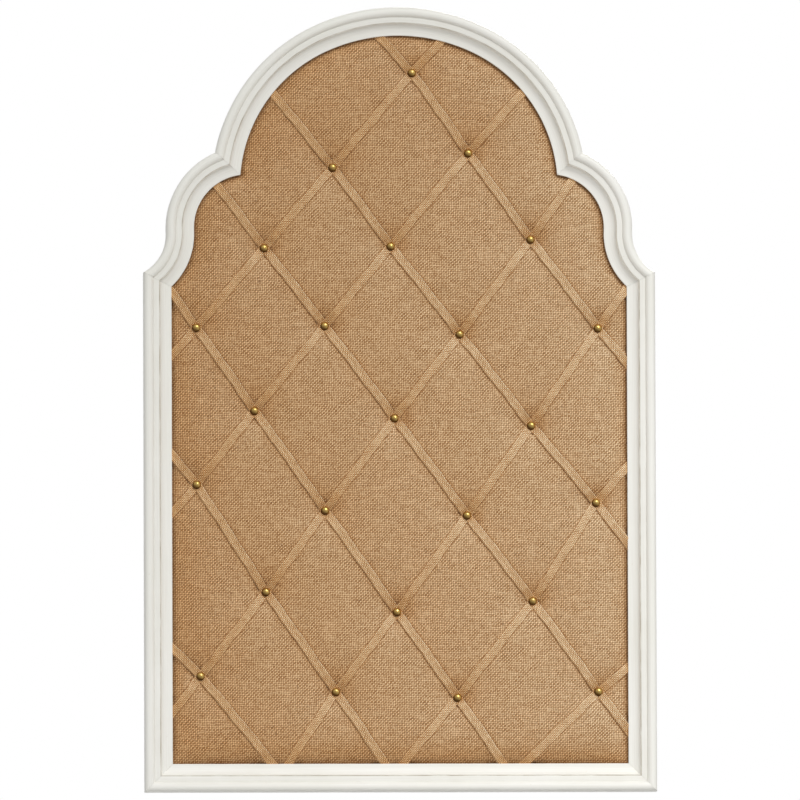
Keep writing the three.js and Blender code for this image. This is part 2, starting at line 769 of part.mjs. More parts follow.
function screwBody() {
  const shank = SCREW_DIAMETER / 2;
  const head = SCREW_HEAD_DIAMETER / 2;
  const back = screwHeadFront - SCREW_HEAD_RISE;
  return turned([
    [0, back],
    [head * 0.7, back],
    [head, back + SCREW_HEAD_RISE * 0.5],
    [head, screwHeadFront],
    [shank, screwHeadFront],
    [shank, SCREW_BITE - SCREW_DIAMETER],
    [0, SCREW_BITE],
  ], SCREW_SIDES);
}

function bumperBody() {
  const radius = BUMPER_DIAMETER / 2;
  return turned([
    [0, -wallDepth],
    [radius - BUMPER_TAPER, -wallDepth],
    [radius, -wallDepth + BUMPER_TAPER],
    [radius, -SEAT_GAP],
    [0, -SEAT_GAP],
  ], BUMPER_SIDES);
}

// Hangers: a strap curled round the bar of a D-ring, drawn upright about the ring's axis

const strapWidth = RING_WIDTH - 2 * RING_CORNER - 2 * STRAP_SIDE_PLAY;
const screwHole = (length) => {
  const radius = SCREW_DIAMETER / 2 + SCREW_CLEARANCE;
  return new THREE.CylinderGeometry(radius, radius, length, SCREW_SIDES).rotateX(Math.PI / 2);
};

// The strap's edge-on shape has height above the axis and distance behind the frame.
function strapBody() {
  const inner = RING_WIRE / 2 + LOOP_CLEARANCE;
  const outer = inner + STRAP_THICKNESS;
  const start = -Math.PI / 2;
  const end = start + degToRad(LOOP_TURN);
  const shape = new THREE.Shape();
  shape.moveTo(-STRAP_LENGTH, SEAT_GAP);
  shape.lineTo(0, SEAT_GAP);
  shape.absarc(0, ringAxisDepth, outer, start, end, false);
  shape.absarc(0, ringAxisDepth, inner, end, start, true);
  shape.lineTo(-STRAP_LENGTH, -strapBack);
  const strap = new THREE.ExtrudeGeometry(shape, { depth: strapWidth, bevelEnabled: false, curveSegments: 14 });
  strap.translate(0, 0, -strapWidth / 2);
  const upright = new THREE.Matrix4().makeBasis(
    new THREE.Vector3(0, 1, 0),
    new THREE.Vector3(0, 0, -1),
    new THREE.Vector3(-1, 0, 0),
  );
  strap.applyMatrix4(upright);
  return cutAway(strap, [screwHole(4 * STRAP_THICKNESS).translate(0, -SCREW_DROP, strapBack)]);
}

// Middle line of the ring's wire: a bar, two round corners and a half ellipse over them.
function ringPath() {
  const half = RING_WIDTH / 2;
  const corner = plan(half - RING_CORNER, RING_CORNER);
  const right = [plan(corner.x, 0), ...arc(corner, RING_CORNER, -Math.PI / 2, 0, 3)];
  const top = arc(plan(0, 0), 1, 0, Math.PI, 12).slice(0, -1);
  const bow = top.map((point) => plan(half * point.x, RING_CORNER + (RING_HEIGHT - RING_CORNER) * point.y));
  const left = right.slice().reverse().map((point) => plan(-point.x, point.y));
  return [...right, ...bow, ...left];
}

function ringBody() {
  const path = ringPath();
  const sections = path.map((point, k) => {
    const before = path[(k + path.length - 1) % path.length];
    const after = path[(k + 1) % path.length];
    const along = after.clone().sub(before).normalize();
    const outward = plan(along.y, -along.x);
    return arc(plan(0, 0), RING_WIRE / 2, 0, 2 * Math.PI, WIRE_SIDES).map((wire) =>
      raise(point.clone().addScaledVector(outward, wire.x), wire.y));
  });
  const corners = [];
  sections.forEach((section, k) => addBand(corners, section, sections[(k + 1) % sections.length]));
  return bodyOf(corners);
}

const hangerX = halfWidth - solidMiddle;
const ringAxisHeight = stileTop - HANGER_DROP;
const ringLean = Math.asin((STRAP_THICKNESS + LOOP_CLEARANCE) / RING_HEIGHT);
const hookHeight = ringAxisHeight + RING_HEIGHT * Math.cos(ringLean) - RING_WIRE / 2;

// Materials, and the assembly

const finish = (color, roughness, metalness) => new THREE.MeshStandardMaterial({ color, roughness, metalness });
const paint = finish(0xefebe0, 0.55, 0);
const wood = finish(0xc9a878, 0.8, 0);
const burlap = finish(0xb9926a, 0.95, 0);
const tape = finish(0xc59e74, 0.95, 0);
const wadding = finish(0xefe9dc, 1, 0);
const fibreboard = finish(0xb39b7c, 0.9, 0);
const hardboard = finish(0x7a5a3e, 0.8, 0);
const brass = finish(0xa67c45, 0.4, 1);
const steel = finish(0xbcbcb6, 0.35, 1);
const rubber = finish(0x2c2b2a, 0.9, 0);

const board = new THREE.Group();
board.rotation.x = Math.PI / 2;
board.position.set(0, -wallDepth, -hookHeight);

function place(name, geometry, material, parent = board) {
  const mesh = new THREE.Mesh(geometry, material);
  mesh.name = name;
  parent.add(mesh);
  return mesh;
}

// Each member has a slot for the spline at both its ends, and a stile has a hole for its hanger's screw.
memberNames.forEach((name, k) => {
  const start = joints[k];
  const end = joints[(k + 1) % joints.length];
  const stations = [start.corner, k === joints.length - 1 ? lastCorner + 1 : end.corner];
  const cutters = [start, end].map((joint) => splineAt(joint, SPLINE_CLEARANCE));
  if (name.endsWith('stile')) {
    const side = name.startsWith('right') ? 1 : -1;
    const depth = SCREW_BITE + SEAT_GAP;
    cutters.push(screwHole(2 * depth).translate(side * hangerX, ringAxisHeight - SCREW_DROP, 0));
  }
  place(name, cutAway(member(...stations), cutters), paint);
});
joints.forEach((joint) => place(`spline_${joint.name}`, splineAt(joint, 0), wood));

place('back_cover', sheetBoard(outline(coverInset, PANEL_STEPS), backCoverBottom, BACK_COVER_THICKNESS), hardboard);
place('core_board', coreBoard(), fibreboard);
place('batting', batting(), wadding);
place('burlap_cover', burlapCover(), burlap);
ribbons.forEach((ribbon) => place(ribbon.name, ribbonBody(ribbon), tape));
nails.forEach((nail) => place(nail.name, nailBody(), brass).position.set(nail.spot.x, nail.spot.y, 0));

for (const [sideName, side] of [['left', -1], ['right', 1]]) {
  const hanger = new THREE.Group();
  hanger.position.set(side * hangerX, ringAxisHeight, 0);
  place(`${sideName}_hanger_strap`, strapBody(), steel, hanger);
  place(`${sideName}_hanger_screw`, screwBody(), steel, hanger).position.y = -SCREW_DROP;
  const ring = place(`${sideName}_hanger_ring`, ringBody(), steel, hanger);
  ring.position.z = -ringAxisDepth;
  ring.rotation.x = ringLean;
  board.add(hanger);
  const bumper = place(`${sideName}_wall_bumper`, bumperBody(), rubber);
  bumper.position.set(side * (halfWidth - BUMPER_SETBACK), solidMiddle, 0);
}

export default board;
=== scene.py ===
# A padded burlap memo board in an arched, shouldered frame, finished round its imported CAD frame.
# Lengths are in metres. x runs right, z runs up and the front faces -y, with the origin between the wall
# hooks. Plan points are (x, up), with up measured from the frame's bottom edge, and heights run forward
# from the frame's back.

import json
import math

import bmesh
import bpy
import numpy as np
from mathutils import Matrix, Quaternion, Vector
from mathutils.geometry import delaunay_2d_cdt


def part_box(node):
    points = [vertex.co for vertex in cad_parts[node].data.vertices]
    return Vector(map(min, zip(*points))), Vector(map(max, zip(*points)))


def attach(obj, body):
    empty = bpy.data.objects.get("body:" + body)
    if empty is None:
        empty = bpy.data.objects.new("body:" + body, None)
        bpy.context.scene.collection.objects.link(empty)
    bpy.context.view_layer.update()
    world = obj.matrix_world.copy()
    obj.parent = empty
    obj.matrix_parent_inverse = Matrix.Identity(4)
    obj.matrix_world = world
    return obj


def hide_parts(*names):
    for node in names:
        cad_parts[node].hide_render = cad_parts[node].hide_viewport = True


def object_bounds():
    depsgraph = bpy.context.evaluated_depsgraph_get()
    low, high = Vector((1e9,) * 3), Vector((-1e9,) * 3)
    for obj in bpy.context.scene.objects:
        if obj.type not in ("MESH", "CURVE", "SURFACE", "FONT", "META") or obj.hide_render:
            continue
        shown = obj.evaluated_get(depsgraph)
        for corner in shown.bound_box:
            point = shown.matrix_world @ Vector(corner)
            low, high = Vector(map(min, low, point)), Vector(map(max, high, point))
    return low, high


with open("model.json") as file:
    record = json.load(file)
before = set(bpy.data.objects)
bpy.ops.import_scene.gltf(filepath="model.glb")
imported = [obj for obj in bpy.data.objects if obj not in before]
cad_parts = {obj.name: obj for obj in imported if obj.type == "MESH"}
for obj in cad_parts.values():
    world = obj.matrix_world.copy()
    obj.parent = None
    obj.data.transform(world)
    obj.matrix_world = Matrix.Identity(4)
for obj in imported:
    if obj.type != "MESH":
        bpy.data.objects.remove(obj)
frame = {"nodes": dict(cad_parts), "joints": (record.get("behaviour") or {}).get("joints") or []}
cad_low, cad_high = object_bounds()
scene = bpy.context.scene

MM = 0.001
BODY = "board"
WHITE = (1, 1, 1, 1)

# Outline of the frame
HALF_WIDTH = cad_high.x
HEIGHT = cad_high.z - cad_low.z
SHOULDER_RADIUS = 97 * MM
SHOULDER_SETBACK = 27 * MM
SHOULDER_DROP = 263 * MM
SHOULDER_TILT = math.radians(2.8)
WAIST_RADIUS = 53 * MM
HAUNCH_RADIUS = 211 * MM
HAUNCH_SPREAD = 169 * MM
CROWN_HALF_ANGLE = math.radians(25)
FRAME_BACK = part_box("bottom_rail")[1].y

# Steps along each stretch of the outline, and the numbers of its corner points
STILE_STEPS = 96
WAIST_STEPS = 16
SHOULDER_STEPS = 40
HAUNCH_STEPS = 40
CROWN_STEPS = 24
BOTTOM_STEPS = 96
RIGHT_WAIST = STILE_STEPS
RIGHT_CUSP = RIGHT_WAIST + WAIST_STEPS + SHOULDER_STEPS
BOTTOM_LEFT = 2 * (RIGHT_CUSP + HAUNCH_STEPS + CROWN_STEPS)
RING_SIZE = BOTTOM_LEFT + BOTTOM_STEPS

# Moulding section, as distances in from the outer edge and heights above the back
FACE_WIDTH = 33.5 * MM
RABBET_INSET = 24 * MM
BEAD_HALF_WIDTH = 6.05 * MM
BEAD_RISE = 6.5 * MM
BEAD_HEIGHT = 32 * MM
BEAD_POINTS = 25
FILLET_HEIGHT = 27.5 * MM
CREASE_WIDTH = 0.5 * MM
COVE_WIDTH = 14 * MM
COVE_DROP = 8.1 * MM
COVE_ARC = (math.radians(12), math.radians(86))
COVE_POINTS = 22
SIGHT_HEIGHT = 19 * MM
LIP_BOTTOM = 15 * MM
ARRIS = 0.7 * MM
ARRIS_POINTS = 4
JOINT_GAP = 0.14 * MM

# Quirk before the cove: distances in from its outer side, and depths below the fillet
QUIRK_WIDTH = 0.9 * MM
QUIRK_LINE = [
    (-0.4 * MM, 0), (0, 0.15 * MM), (0.27 * MM, 0.7 * MM),
    (0.54 * MM, 0.7 * MM), (0.8 * MM, 0.45 * MM), (1 * MM, 0.6 * MM),
]

# Layers of the panel
COVER_INSET = 26 * MM
COVER_RIM = 13.7 * MM
COVER_THICKNESS = 0.9 * MM
COVER_RETURN = 22 * MM
RETURN_BOTTOM = 3 * MM
BATTING_INSET = 27.2 * MM
BATTING_RIM = 12.5 * MM
BATTING_BOTTOM = 9.5 * MM
RIM_INSET = 35.6 * MM
PANEL_EDGE = 0.5 * MM
COVER_GRID = 2.5 * MM
INNER_GRID = 5 * MM
NET_MARGIN = 0.6
NET_TOLERANCE = 1e-9

# Padding, as lifts above the rim
NAIL_DIP = 1.8 * MM
CHANNEL_RISE = 12 * MM
PILLOW_RISE = 12.4 * MM
DIP_REACH = 13.5 * MM
DIP_SHARE = 0.65
SAG_REACH = 34 * MM
DIP_POWER = 1.5
FULL_SPAN = 6 * DIP_REACH
PILLOW_ROLL = 15 * MM
PAD_GRID = 2.5 * MM
PAD_ROUNDS = 160
PAD_OVERSHOOT = 1.6
GRID_END = 1.001
PUFF_STRIDE = 2
PUFF_FRAMES = 20
PUFF_PRESSURE = 4
PUFF_MASS = 0.02
PUFF_CAP = 1.2 * MM

# Ribbons: the ones that fall to the right lie on top
FAMILIES = ("right", "left")
RIBBON_COUNT = 6
RIBBON_WIDTH = 10.1 * MM
RIBBON_THICKNESS = {"right": 1.9 * MM, "left": 0.9 * MM}
RIBBON_STEP = 2 * MM
RIBBON_TUCK = 3.5 * MM
TUCK_STEP = 0.25 * MM
TUCK_REACH = 8 * MM
BEND_REACH = 7 * MM
HELD_LINES = 9
PRESS_SHARE = 0.3
PRESS_REACH = 0.8 * RIBBON_WIDTH
CROSSING_REACH = 0.9 * RIBBON_WIDTH

# Sway of a ribbon: shares of its size, turns in each length, and shifts from one ribbon to the next
SWAY = 0.3 * MM
SWAY_LENGTH = 10 * MM
SWAY_WAVES = [(1, 1.1, 2.3), (0.6, 2.9, 5.1)]

# Left half of a tape's section, as shares of its width and thickness
TAPE_BOTTOM = [(0, 0), (-0.25, 0), (-0.38, 0.05), (-0.485, 0.25)]
TAPE_TOP = [(-0.5, 0.5), (-0.48, 0.85), (-0.42, 1), (-0.3, 0.97), (-0.1, 0.94), (-0.03, 0.92), (0, 0.88)]

# Nails
NAIL_DOME = 4.4 * MM
NAIL_RIM = 0.3 * MM
NAIL_RIM_SHARE = 0.98
NAIL_HOLLOW = 0.2 * MM
NAIL_SHANK = 1 * MM
NAIL_POINT = 2.5 * MM
DOME_POINTS = 12

# Hangers, bumpers and staples
RING_WIRE = 2.5 * MM
RING_WIDTH = 18 * MM
RING_HEIGHT = 15 * MM
RING_CORNER = 3.5 * MM
BAR_POINTS = 6
CORNER_STEPS = 10
BOW_POINTS = 22
WIRE_SIDES = 20
LOOP_CLEARANCE = 0.3 * MM
LOOP_ARC = (-90, 205)
LOOP_POINTS = 33
STRAP_THICKNESS = 1.2 * MM
STRAP_EDGE = 0.3 * MM
SCREW_DIAMETER = 3.5 * MM
SCREW_HEAD_RISE = 2.2 * MM
SCREW_CROWN = 0.55
SCREW_POINTS = 10
SCREW_SIDES = 48
SLOT_WIDTH = 0.9 * MM
SLOT_TURN = {"left": 24, "right": -51}
BUMPER_SOFT = 1.2 * MM
BUMPER_POINTS = 7
BUMPER_DISH = [(0, 0.4 * MM), (0.45, 0.3 * MM)]
ROUND_SIDES = 40
STAPLE_LENGTH = 11 * MM
STAPLE_WIRE = 0.9 * MM
STAPLE_DEPTH = 2 * MM
STAPLE_PROUD = 0.1 * MM
STAPLE_BEVEL = 0.08 * MM
RIGHT_STAPLES = [12, 36, 60, 84, RIGHT_WAIST + 30, RIGHT_CUSP + 14, RIGHT_CUSP + 44]
LEFT_STAPLES = [BOTTOM_LEFT - station for station in RIGHT_STAPLES[::-1]]
BOTTOM_STAPLES = [BOTTOM_LEFT + 16, BOTTOM_LEFT + 48, BOTTOM_LEFT + 80]

# Meshes, with angles in degrees
SHARP = 40
WELD = 1e-7

# Weave: the colours of a gap in painted shade, of a thread's side and of its crown with painted light, as
# they show on a screen
BURLAP_PITCH = 2.09 * MM
BURLAP_SHADES = [(80, 38, 9), (182, 138, 90), (248, 220, 186)]
RIBBON_PITCH = 1.9 * MM
RIBBON_SHADES = {
    "right": [(94, 54, 20), (224, 177, 126), (255, 240, 206)],
    # The lower tapes are a touch darker: painted shade, as the light runs along them.
    "left": [(94, 54, 20), (224, 176, 125), (255, 238, 202)],
}
SHADE_STOPS = (0.1, 0.5, 1)
WEAVE_DRIFT = 60
WEAVE_WANDER = 0.6
WEAVE_TURN = 0.6
WARP_TONES = (0.84, 1.06)
WEFT_TONES = (0.7, 1.2)
WEFT_SEED = 37
CELL_TONES = (0.82, 1.14)
THREAD_JUMP = 3.7
THREAD_DRIFT = 0.11
LEAN_LEAST = 0.3

# Painted light and shade on the cloth, painted shade in its creases and on the nails' side away from the
# light
PAINTED_LIGHT_FROM = (0.5, 0, 0.87)
PAINTED_LIGHT_TURN = 0.4
PAINTED_LIGHT_DRIFT = 0.75
PAINTED_LIGHT_MIDDLE = 0.05
PAINTED_SHADE_TINT = (0.93, 0.8, 0.63, 1)
PAINTED_LIGHT_TINT = (1.05, 1.12, 1.2, 1)
CROWN_SHADE_FROM = 80 * MM
CROWN_SHADE_GAIN = 0.8
NOOK_SHADE_REACH = 45 * MM
NOOK_SHADE_SHARE = 0.6
NOOK_SHADE_GAIN = 0.8
CREASE_SHADE_REACH = 9 * MM
CREASE_SHADE_SPAN = (0.4, 0.85)
CREASE_SHADE_SHARE = 0.5
SHADED_SIDE_TURN = 0.45
SHADED_SIDE_SHARE = 0.95
NOISE_LOW = 0.3
NOISE_HIGH = 0.7
OPENNESS_SAMPLES = 8

# Camera, placed as the photograph's: far off, a little to the left of the board and below its middle, with
# the picture's width measured at the frame's front
PICTURE_WIDTH = 952.6 * MM
PICTURE_CENTRE = (-0.1 * MM, 466.3 * MM)
CAMERA_DISTANCE = 24.0
CAMERA_TURN = math.radians(2.5)
CAMERA_RISE = math.radians(3.5)
CAMERA_ROLL = math.radians(0.2)
SENSOR_WIDTH = 36

# Studio: a soft light from the front, a key lamp from the upper right and a lamp for the back
AMBIENT_FROM = (-0.2, -0.95, 0.24)
AMBIENT_LEAST = 0.05
AMBIENT_MOST = 0.75
LAMP_SIZE = 2.2
LAMP_SPREAD = math.radians(37)
KEY_PLACE = (1.65, -3.65, 2.65)
KEY_AIM = (0.45, 0, -0.68)
KEY_POWER = 8.7
BACK_PLACE = (1.3, 3.6, 2.2)
BACK_AIM = (0, 0, -0.1)
BACK_POWER = 9.5
FLOOR_DROP = 1.2
FLOOR_RADIUS = 1.6
FLOOR_FADE = (0.5 * FLOOR_RADIUS, 0.98 * FLOOR_RADIUS)
FLOOR_SIDES = 96


# Plan geometry

def stacked(*values):
    """Arrays side by side, as one array of points."""
    return np.stack(np.broadcast_arrays(*values), axis=-1)


def unit(vectors):
    return vectors / np.linalg.norm(vectors, axis=-1, keepdims=True)


def right_of(along):
    """Unit vectors to the right of plan directions."""
    along = unit(along)
    return stacked(along[..., 1], -along[..., 0])


def polar(centre, radius, angles):
    return stacked(centre[0] + radius * np.cos(angles), centre[1] + radius * np.sin(angles))


shoulder_centre = np.array([HALF_WIDTH - SHOULDER_SETBACK - SHOULDER_RADIUS, HEIGHT - SHOULDER_DROP])
waist_centre = polar(shoulder_centre, SHOULDER_RADIUS + WAIST_RADIUS, -SHOULDER_TILT)
haunch_x = shoulder_centre[0] - HAUNCH_SPREAD
crown_radius = HAUNCH_RADIUS + haunch_x / math.sin(CROWN_HALF_ANGLE)
crown_centre = np.array([0, HEIGHT - crown_radius])
crown_start = math.pi / 2 - CROWN_HALF_ANGLE
haunch_centre = polar(crown_centre, crown_radius - HAUNCH_RADIUS, crown_start)


def bearing(start, end):
    return math.atan2(end[1] - start[1], end[0] - start[0])


def upper_meeting(first, first_radius, second, second_radius):
    """The upper point where a circle meets another to the right of it."""
    apart = math.dist(first, second)
    along = (first_radius**2 - second_radius**2 + apart**2) / (2 * apart)
    return polar(first, first_radius, bearing(first, second) + math.acos(along / first_radius))


def arc(centre, radius, start, end, steps):
    return polar(centre, radius, np.linspace(start, end, steps + 1)[1:])


def right_half(inset):
    side = HALF_WIDTH - inset
    waist = WAIST_RADIUS + inset
    shoulder = SHOULDER_RADIUS - inset
    haunch = HAUNCH_RADIUS - inset
    waist_start = math.pi + math.acos((waist_centre[0] - side) / waist)
    cusp = upper_meeting(haunch_centre, haunch, shoulder_centre, shoulder)
    stile_top = polar(waist_centre, waist, waist_start)
    return np.concatenate([
        np.linspace([side, inset], stile_top, STILE_STEPS + 1),
        arc(waist_centre, waist, waist_start, math.pi - SHOULDER_TILT, WAIST_STEPS),
        arc(shoulder_centre, shoulder, -SHOULDER_TILT, bearing(shoulder_centre, cusp), SHOULDER_STEPS),
        arc(haunch_centre, haunch, bearing(haunch_centre, cusp), crown_start, HAUNCH_STEPS),
        arc(crown_centre, crown_radius - inset, crown_start, math.pi / 2, CROWN_STEPS),
    ])


def outline(inset):
    """The ring at an inset: up the right side, over the crown, down the left and back along the bottom."""
    right = right_half(inset)
    left = right[-2::-1] * [-1, 1]
    bottom = np.linspace(left[-1], right[0], BOTTOM_STEPS + 1)[1:-1]
    return np.concatenate([right, left, bottom])


def inside(x, up, inset):
    """Whether plan points lie inside the ring at an inset."""
    edge = right_half(inset)
    half = np.interp(up, edge[:, 1], edge[:, 0], left=-1, right=-1)
    return (np.abs(x) < half) & (up > inset)


def to_row(plan, height):
    """Plan points and heights as points of the part's own frame."""
    return stacked(plan[..., 0], FRAME_BACK - height, plan[..., 1] + cad_low.z)


# Meshes

def placed(name, data):
    """A new object in the scene."""
    made = bpy.data.objects.new(name, data)
    scene.collection.objects.link(made)
    return made


def add_piece(name, points, faces, material, uv=None, sharp=SHARP, body=BODY):
    """A closed mesh as a piece that rides on a body. uv holds a pair for each corner of each face."""
    mesh = bpy.data.meshes.new(name)
    mesh.from_pydata(np.asarray(points).tolist(), [], [list(face) for face in faces])
    if uv is not None:
        mesh.uv_layers.new(name="surface").data.foreach_set("uv", np.asarray(uv, np.float32).ravel())
    work = bmesh.new()
    work.from_mesh(mesh)
    bmesh.ops.remove_doubles(work, verts=work.verts, dist=WELD)
    bmesh.ops.recalc_face_normals(work, faces=work.faces)
    work.to_mesh(mesh)
    work.free()
    mesh.polygons.foreach_set("use_smooth", [True] * len(mesh.polygons))
    mesh.set_sharp_from_angle(angle=math.radians(sharp))
    mesh.materials.append(material)
    piece = placed(name, mesh)
    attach(piece, body)
    return piece


def grid_quads(rows, columns, closed):
    """Corner numbers of the quads between rows of points. A closed row joins its last point to its first."""
    row = np.arange(rows - 1)[:, None] * columns
    column = np.arange(columns if closed else columns - 1)[None, :]
    after = (column + 1) % columns
    above = row + columns
    return stacked(row + column, row + after, above + after, above + column).reshape(-1, 4)


def grid_uv(along, across):
    """Corner places for the quads between rows: along holds a value for each row, across for each column."""
    low, high = along[:-1, None], along[1:, None]
    start, end = across[None, :-1], across[None, 1:]
    corners = [(low, start), (low, end), (high, end), (high, start)]
    return np.stack([stacked(u, v) for u, v in corners], axis=2).reshape(-1, 2)


def lengths_along(points):
    """Distance from the first point to each point of a line."""
    steps = np.linalg.norm(np.diff(points, axis=0), axis=1)
    return np.concatenate([[0], np.cumsum(steps)])


def lengths_round(points):
    """The same round a closed line, with its first point again at the end."""
    return lengths_along(np.concatenate([points, points[:1]]))


def sweep(name, sections, along, across, material, sharp):
    """A piece through a row of closed sections, with a face at each end."""
    rows, columns = sections.shape[:2]
    quads = grid_quads(rows, columns, True).tolist()
    ends = [list(range(columns)), list(range((rows - 1) * columns, rows * columns))]
    end_uv = stacked(np.zeros(columns), across[:-1])
    uv = np.concatenate([grid_uv(along, across), end_uv, end_uv + [along[-1], 0]])
    return add_piece(name, sections.reshape(-1, 3), quads + ends, material, uv, sharp)


def turned(name, profile, centre, sides, material):
    """A piece turned about a line along y. The profile holds radii and y places, from axis to axis."""
    profile = np.array(profile)
    around = np.linspace(0, 2 * math.pi, sides + 1)
    rounds = polar(centre, profile[:, :1], around[:-1])
    points = stacked(rounds[..., 0], profile[:, 1:], rounds[..., 1]).reshape(-1, 3)
    uv = grid_uv(lengths_along(profile), around)
    return add_piece(name, points, grid_quads(len(profile), sides, True), material, uv)


def round_box(node):
    """A turned node's middle in x and z, its radius, and its front and back in y."""
    low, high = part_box(node)
    middle = (low + high) / 2
    return (middle.x, middle.z), (high.x - low.x) / 2, low.y, high.y


# Materials

def tint(red, green, blue):
    """A colour written as it shows on a screen, from 0 to 255, as the renderer's linear values."""
    shares = [value / 255 for value in (red, green, blue)]
    linear = [s / 12.92 if s <= 0.04045 else ((s + 0.055) / 1.055) ** 2.4 for s in shares]
    return (*linear, 1)


class Nodes:
    """A node tree, with its nodes under short names."""

    def __init__(self, tree):
        self.tree = tree

    def put(self, socket, value):
        """Links a socket to another's value, or gives it a value of its own."""
        if isinstance(value, bpy.types.NodeSocket):
            self.tree.links.new(value, socket)
        else:
            socket.default_value = value

    def node(self, kind, inputs=None, **settings):
        made = self.tree.nodes.new(kind)
        for key, value in settings.items():
            setattr(made, key, value)
        for key, value in (inputs or {}).items():
            self.put(made.inputs[key], value)
        return made

    def place(self, kind="Object"):
        return self.node("ShaderNodeTexCoord").outputs[kind]

    def split(self, vector):
        return self.node("ShaderNodeSeparateXYZ", {0: vector}).outputs

    def join(self, x, y, z=0):
        return self.node("ShaderNodeCombineXYZ", {0: x, 1: y, 2: z}).outputs[0]

    def math(self, operation, *values):
        return self.node("ShaderNodeMath", dict(enumerate(values)), operation=operation).outputs[0]

    def plus(self, first, second):
        return self.math("ADD", first, second)

    def minus(self, first, second):
        return self.math("SUBTRACT", first, second)

    def times(self, first, second):
        return self.math("MULTIPLY", first, second)

    def vector(self, operation, *values):
        return self.node("ShaderNodeVectorMath", dict(enumerate(values)), operation=operation).outputs

    def scaled(self, vector, x, y, z):
        return self.vector("MULTIPLY", vector, (x, y, z))["Vector"]

    def noise(self, vector, scale, detail=2, roughness=0.5):
        inputs = {"Vector": vector, "Scale": scale, "Detail": detail, "Roughness": roughness}
        return self.node("ShaderNodeTexNoise", inputs).outputs[0]

    def openness(self, reach):
        """How open a place is within a reach, from 0 to 1."""
        inputs = {"Distance": reach}
        return self.node("ShaderNodeAmbientOcclusion", inputs, samples=OPENNESS_SAMPLES).outputs["AO"]

    def fit(self, value, low, high, to_low, to_high):
        inputs = {0: value, 1: low, 2: high, 3: to_low, 4: to_high}
        return self.node("ShaderNodeMapRange", inputs).outputs[0]

    def share(self, value, low=NOISE_LOW, high=NOISE_HIGH, most=1):
        """How far a value lies from low to high, as a share of most."""
        return self.fit(value, low, high, 0, most)

    def mix(self, share, first, second, blend="MIX"):
        inputs = {0: share, 6: first, 7: second}
        return self.node("ShaderNodeMix", inputs, data_type="RGBA", blend_type=blend).outputs[2]

    def dyed(self, colour, dye):
        return self.mix(1, colour, dye, "MULTIPLY")

    def ramp(self, value, stops):
        made = self.node("ShaderNodeValToRGB", {0: value})
        elements = made.color_ramp.elements
        while len(elements) < len(stops):
            elements.new(0.5)
        for element, (place, colour) in zip(elements, stops):
            element.position = place
            element.color = colour
        return made.outputs[0]

    def bump(self, height, distance, strength):
        inputs = {"Height": height, "Distance": distance, "Strength": strength}
        return self.node("ShaderNodeBump", inputs).outputs[0]


class Finish(Nodes):
    """A material with one surface. Uniform values are named as the surface's sockets."""

    def __init__(self, name, **uniform):
        self.material = bpy.data.materials.new(name)
        self.material.use_nodes = True
        super().__init__(self.material.node_tree)
        self.surface = self.tree.nodes["Principled BSDF"]
        for socket, value in uniform.items():
            self.surface.inputs[socket.replace("_", " ")].default_value = value

    def finish(self, colour, roughness=None, normal=None):
        for key, value in (("Base Color", colour), ("Roughness", roughness), ("Normal", normal)):
            if value is not None:
                self.put(self.surface.inputs[key], value)
        return self.material


def thread_tone(look, across, along, seed, dark, pale):
    """How pale a thread is: each has its own tone, which drifts along it."""
    number = look.math("FLOOR", across)
    spot = look.join(look.times(number, THREAD_JUMP), look.times(along, THREAD_DRIFT), seed)
    return look.fit(look.noise(spot, 1), 0.25, 0.75, dark, pale)


def weave(look, across, along, pitch, gap, lean, shades):
    """Plain weave of two sets of threads. Gives its colour and its height, from 0 to 1.
    gap rounds the threads, and lean is how far their crowns join into slanting lines."""
    line = look.join(look.times(across, WEAVE_DRIFT), look.times(along, WEAVE_DRIFT))
    wander = look.fit(look.noise(line, 1, 3), 0, 1, -WEAVE_WANDER, WEAVE_WANDER)
    u = look.plus(look.times(across, 1 / pitch), wander)
    v = look.minus(look.times(along, 1 / pitch), wander)
    waves = [look.math("SINE", look.times(value, math.pi)) for value in (u, v)]
    crowns = [look.math("POWER", look.math("ABSOLUTE", wave), gap) for wave in waves]
    tones = [thread_tone(look, u, v, 0, *WARP_TONES), thread_tone(look, v, u, WEFT_SEED, *WEFT_TONES)]
    warp_up = look.share(look.times(*waves), -WEAVE_TURN, WEAVE_TURN)
    on_top = [warp_up, look.minus(1, warp_up)]
    height = look.math("MAXIMUM", *map(look.times, crowns, on_top))
    tone = look.plus(*map(look.times, tones, on_top))
    slant = look.math("COSINE", look.times(look.minus(u, v), math.pi))
    patch = look.fit(look.noise(line, 0.9), 0.35, 0.65, LEAN_LEAST * lean, lean)
    slant_gain = look.math("MULTIPLY_ADD", slant, patch, 1)
    cell = look.join(look.math("FLOOR", u), look.math("FLOOR", v))
    chance = look.node("ShaderNodeTexWhiteNoise", {"Vector": cell}, noise_dimensions="2D").outputs[0]
    tone = look.times(tone, look.fit(chance, 0, 1, *CELL_TONES))
    # Painted light and shade of the threads: the higher a spot, the paler it is, from a shaded gap to a lit
    # crown.
    lit = look.times(look.times(height, tone), slant_gain)
    stops = [(stop, tint(*shade)) for stop, shade in zip(SHADE_STOPS, shades)]
    return look.ramp(lit, stops), height


def facing_up(look):
    """How far a surface faces up and to the right, towards where the painted light comes from, from -1 to 1.
    """
    facing = look.node("ShaderNodeNewGeometry").outputs["Normal"]
    return look.vector("DOT_PRODUCT", facing, PAINTED_LIGHT_FROM)["Value"]


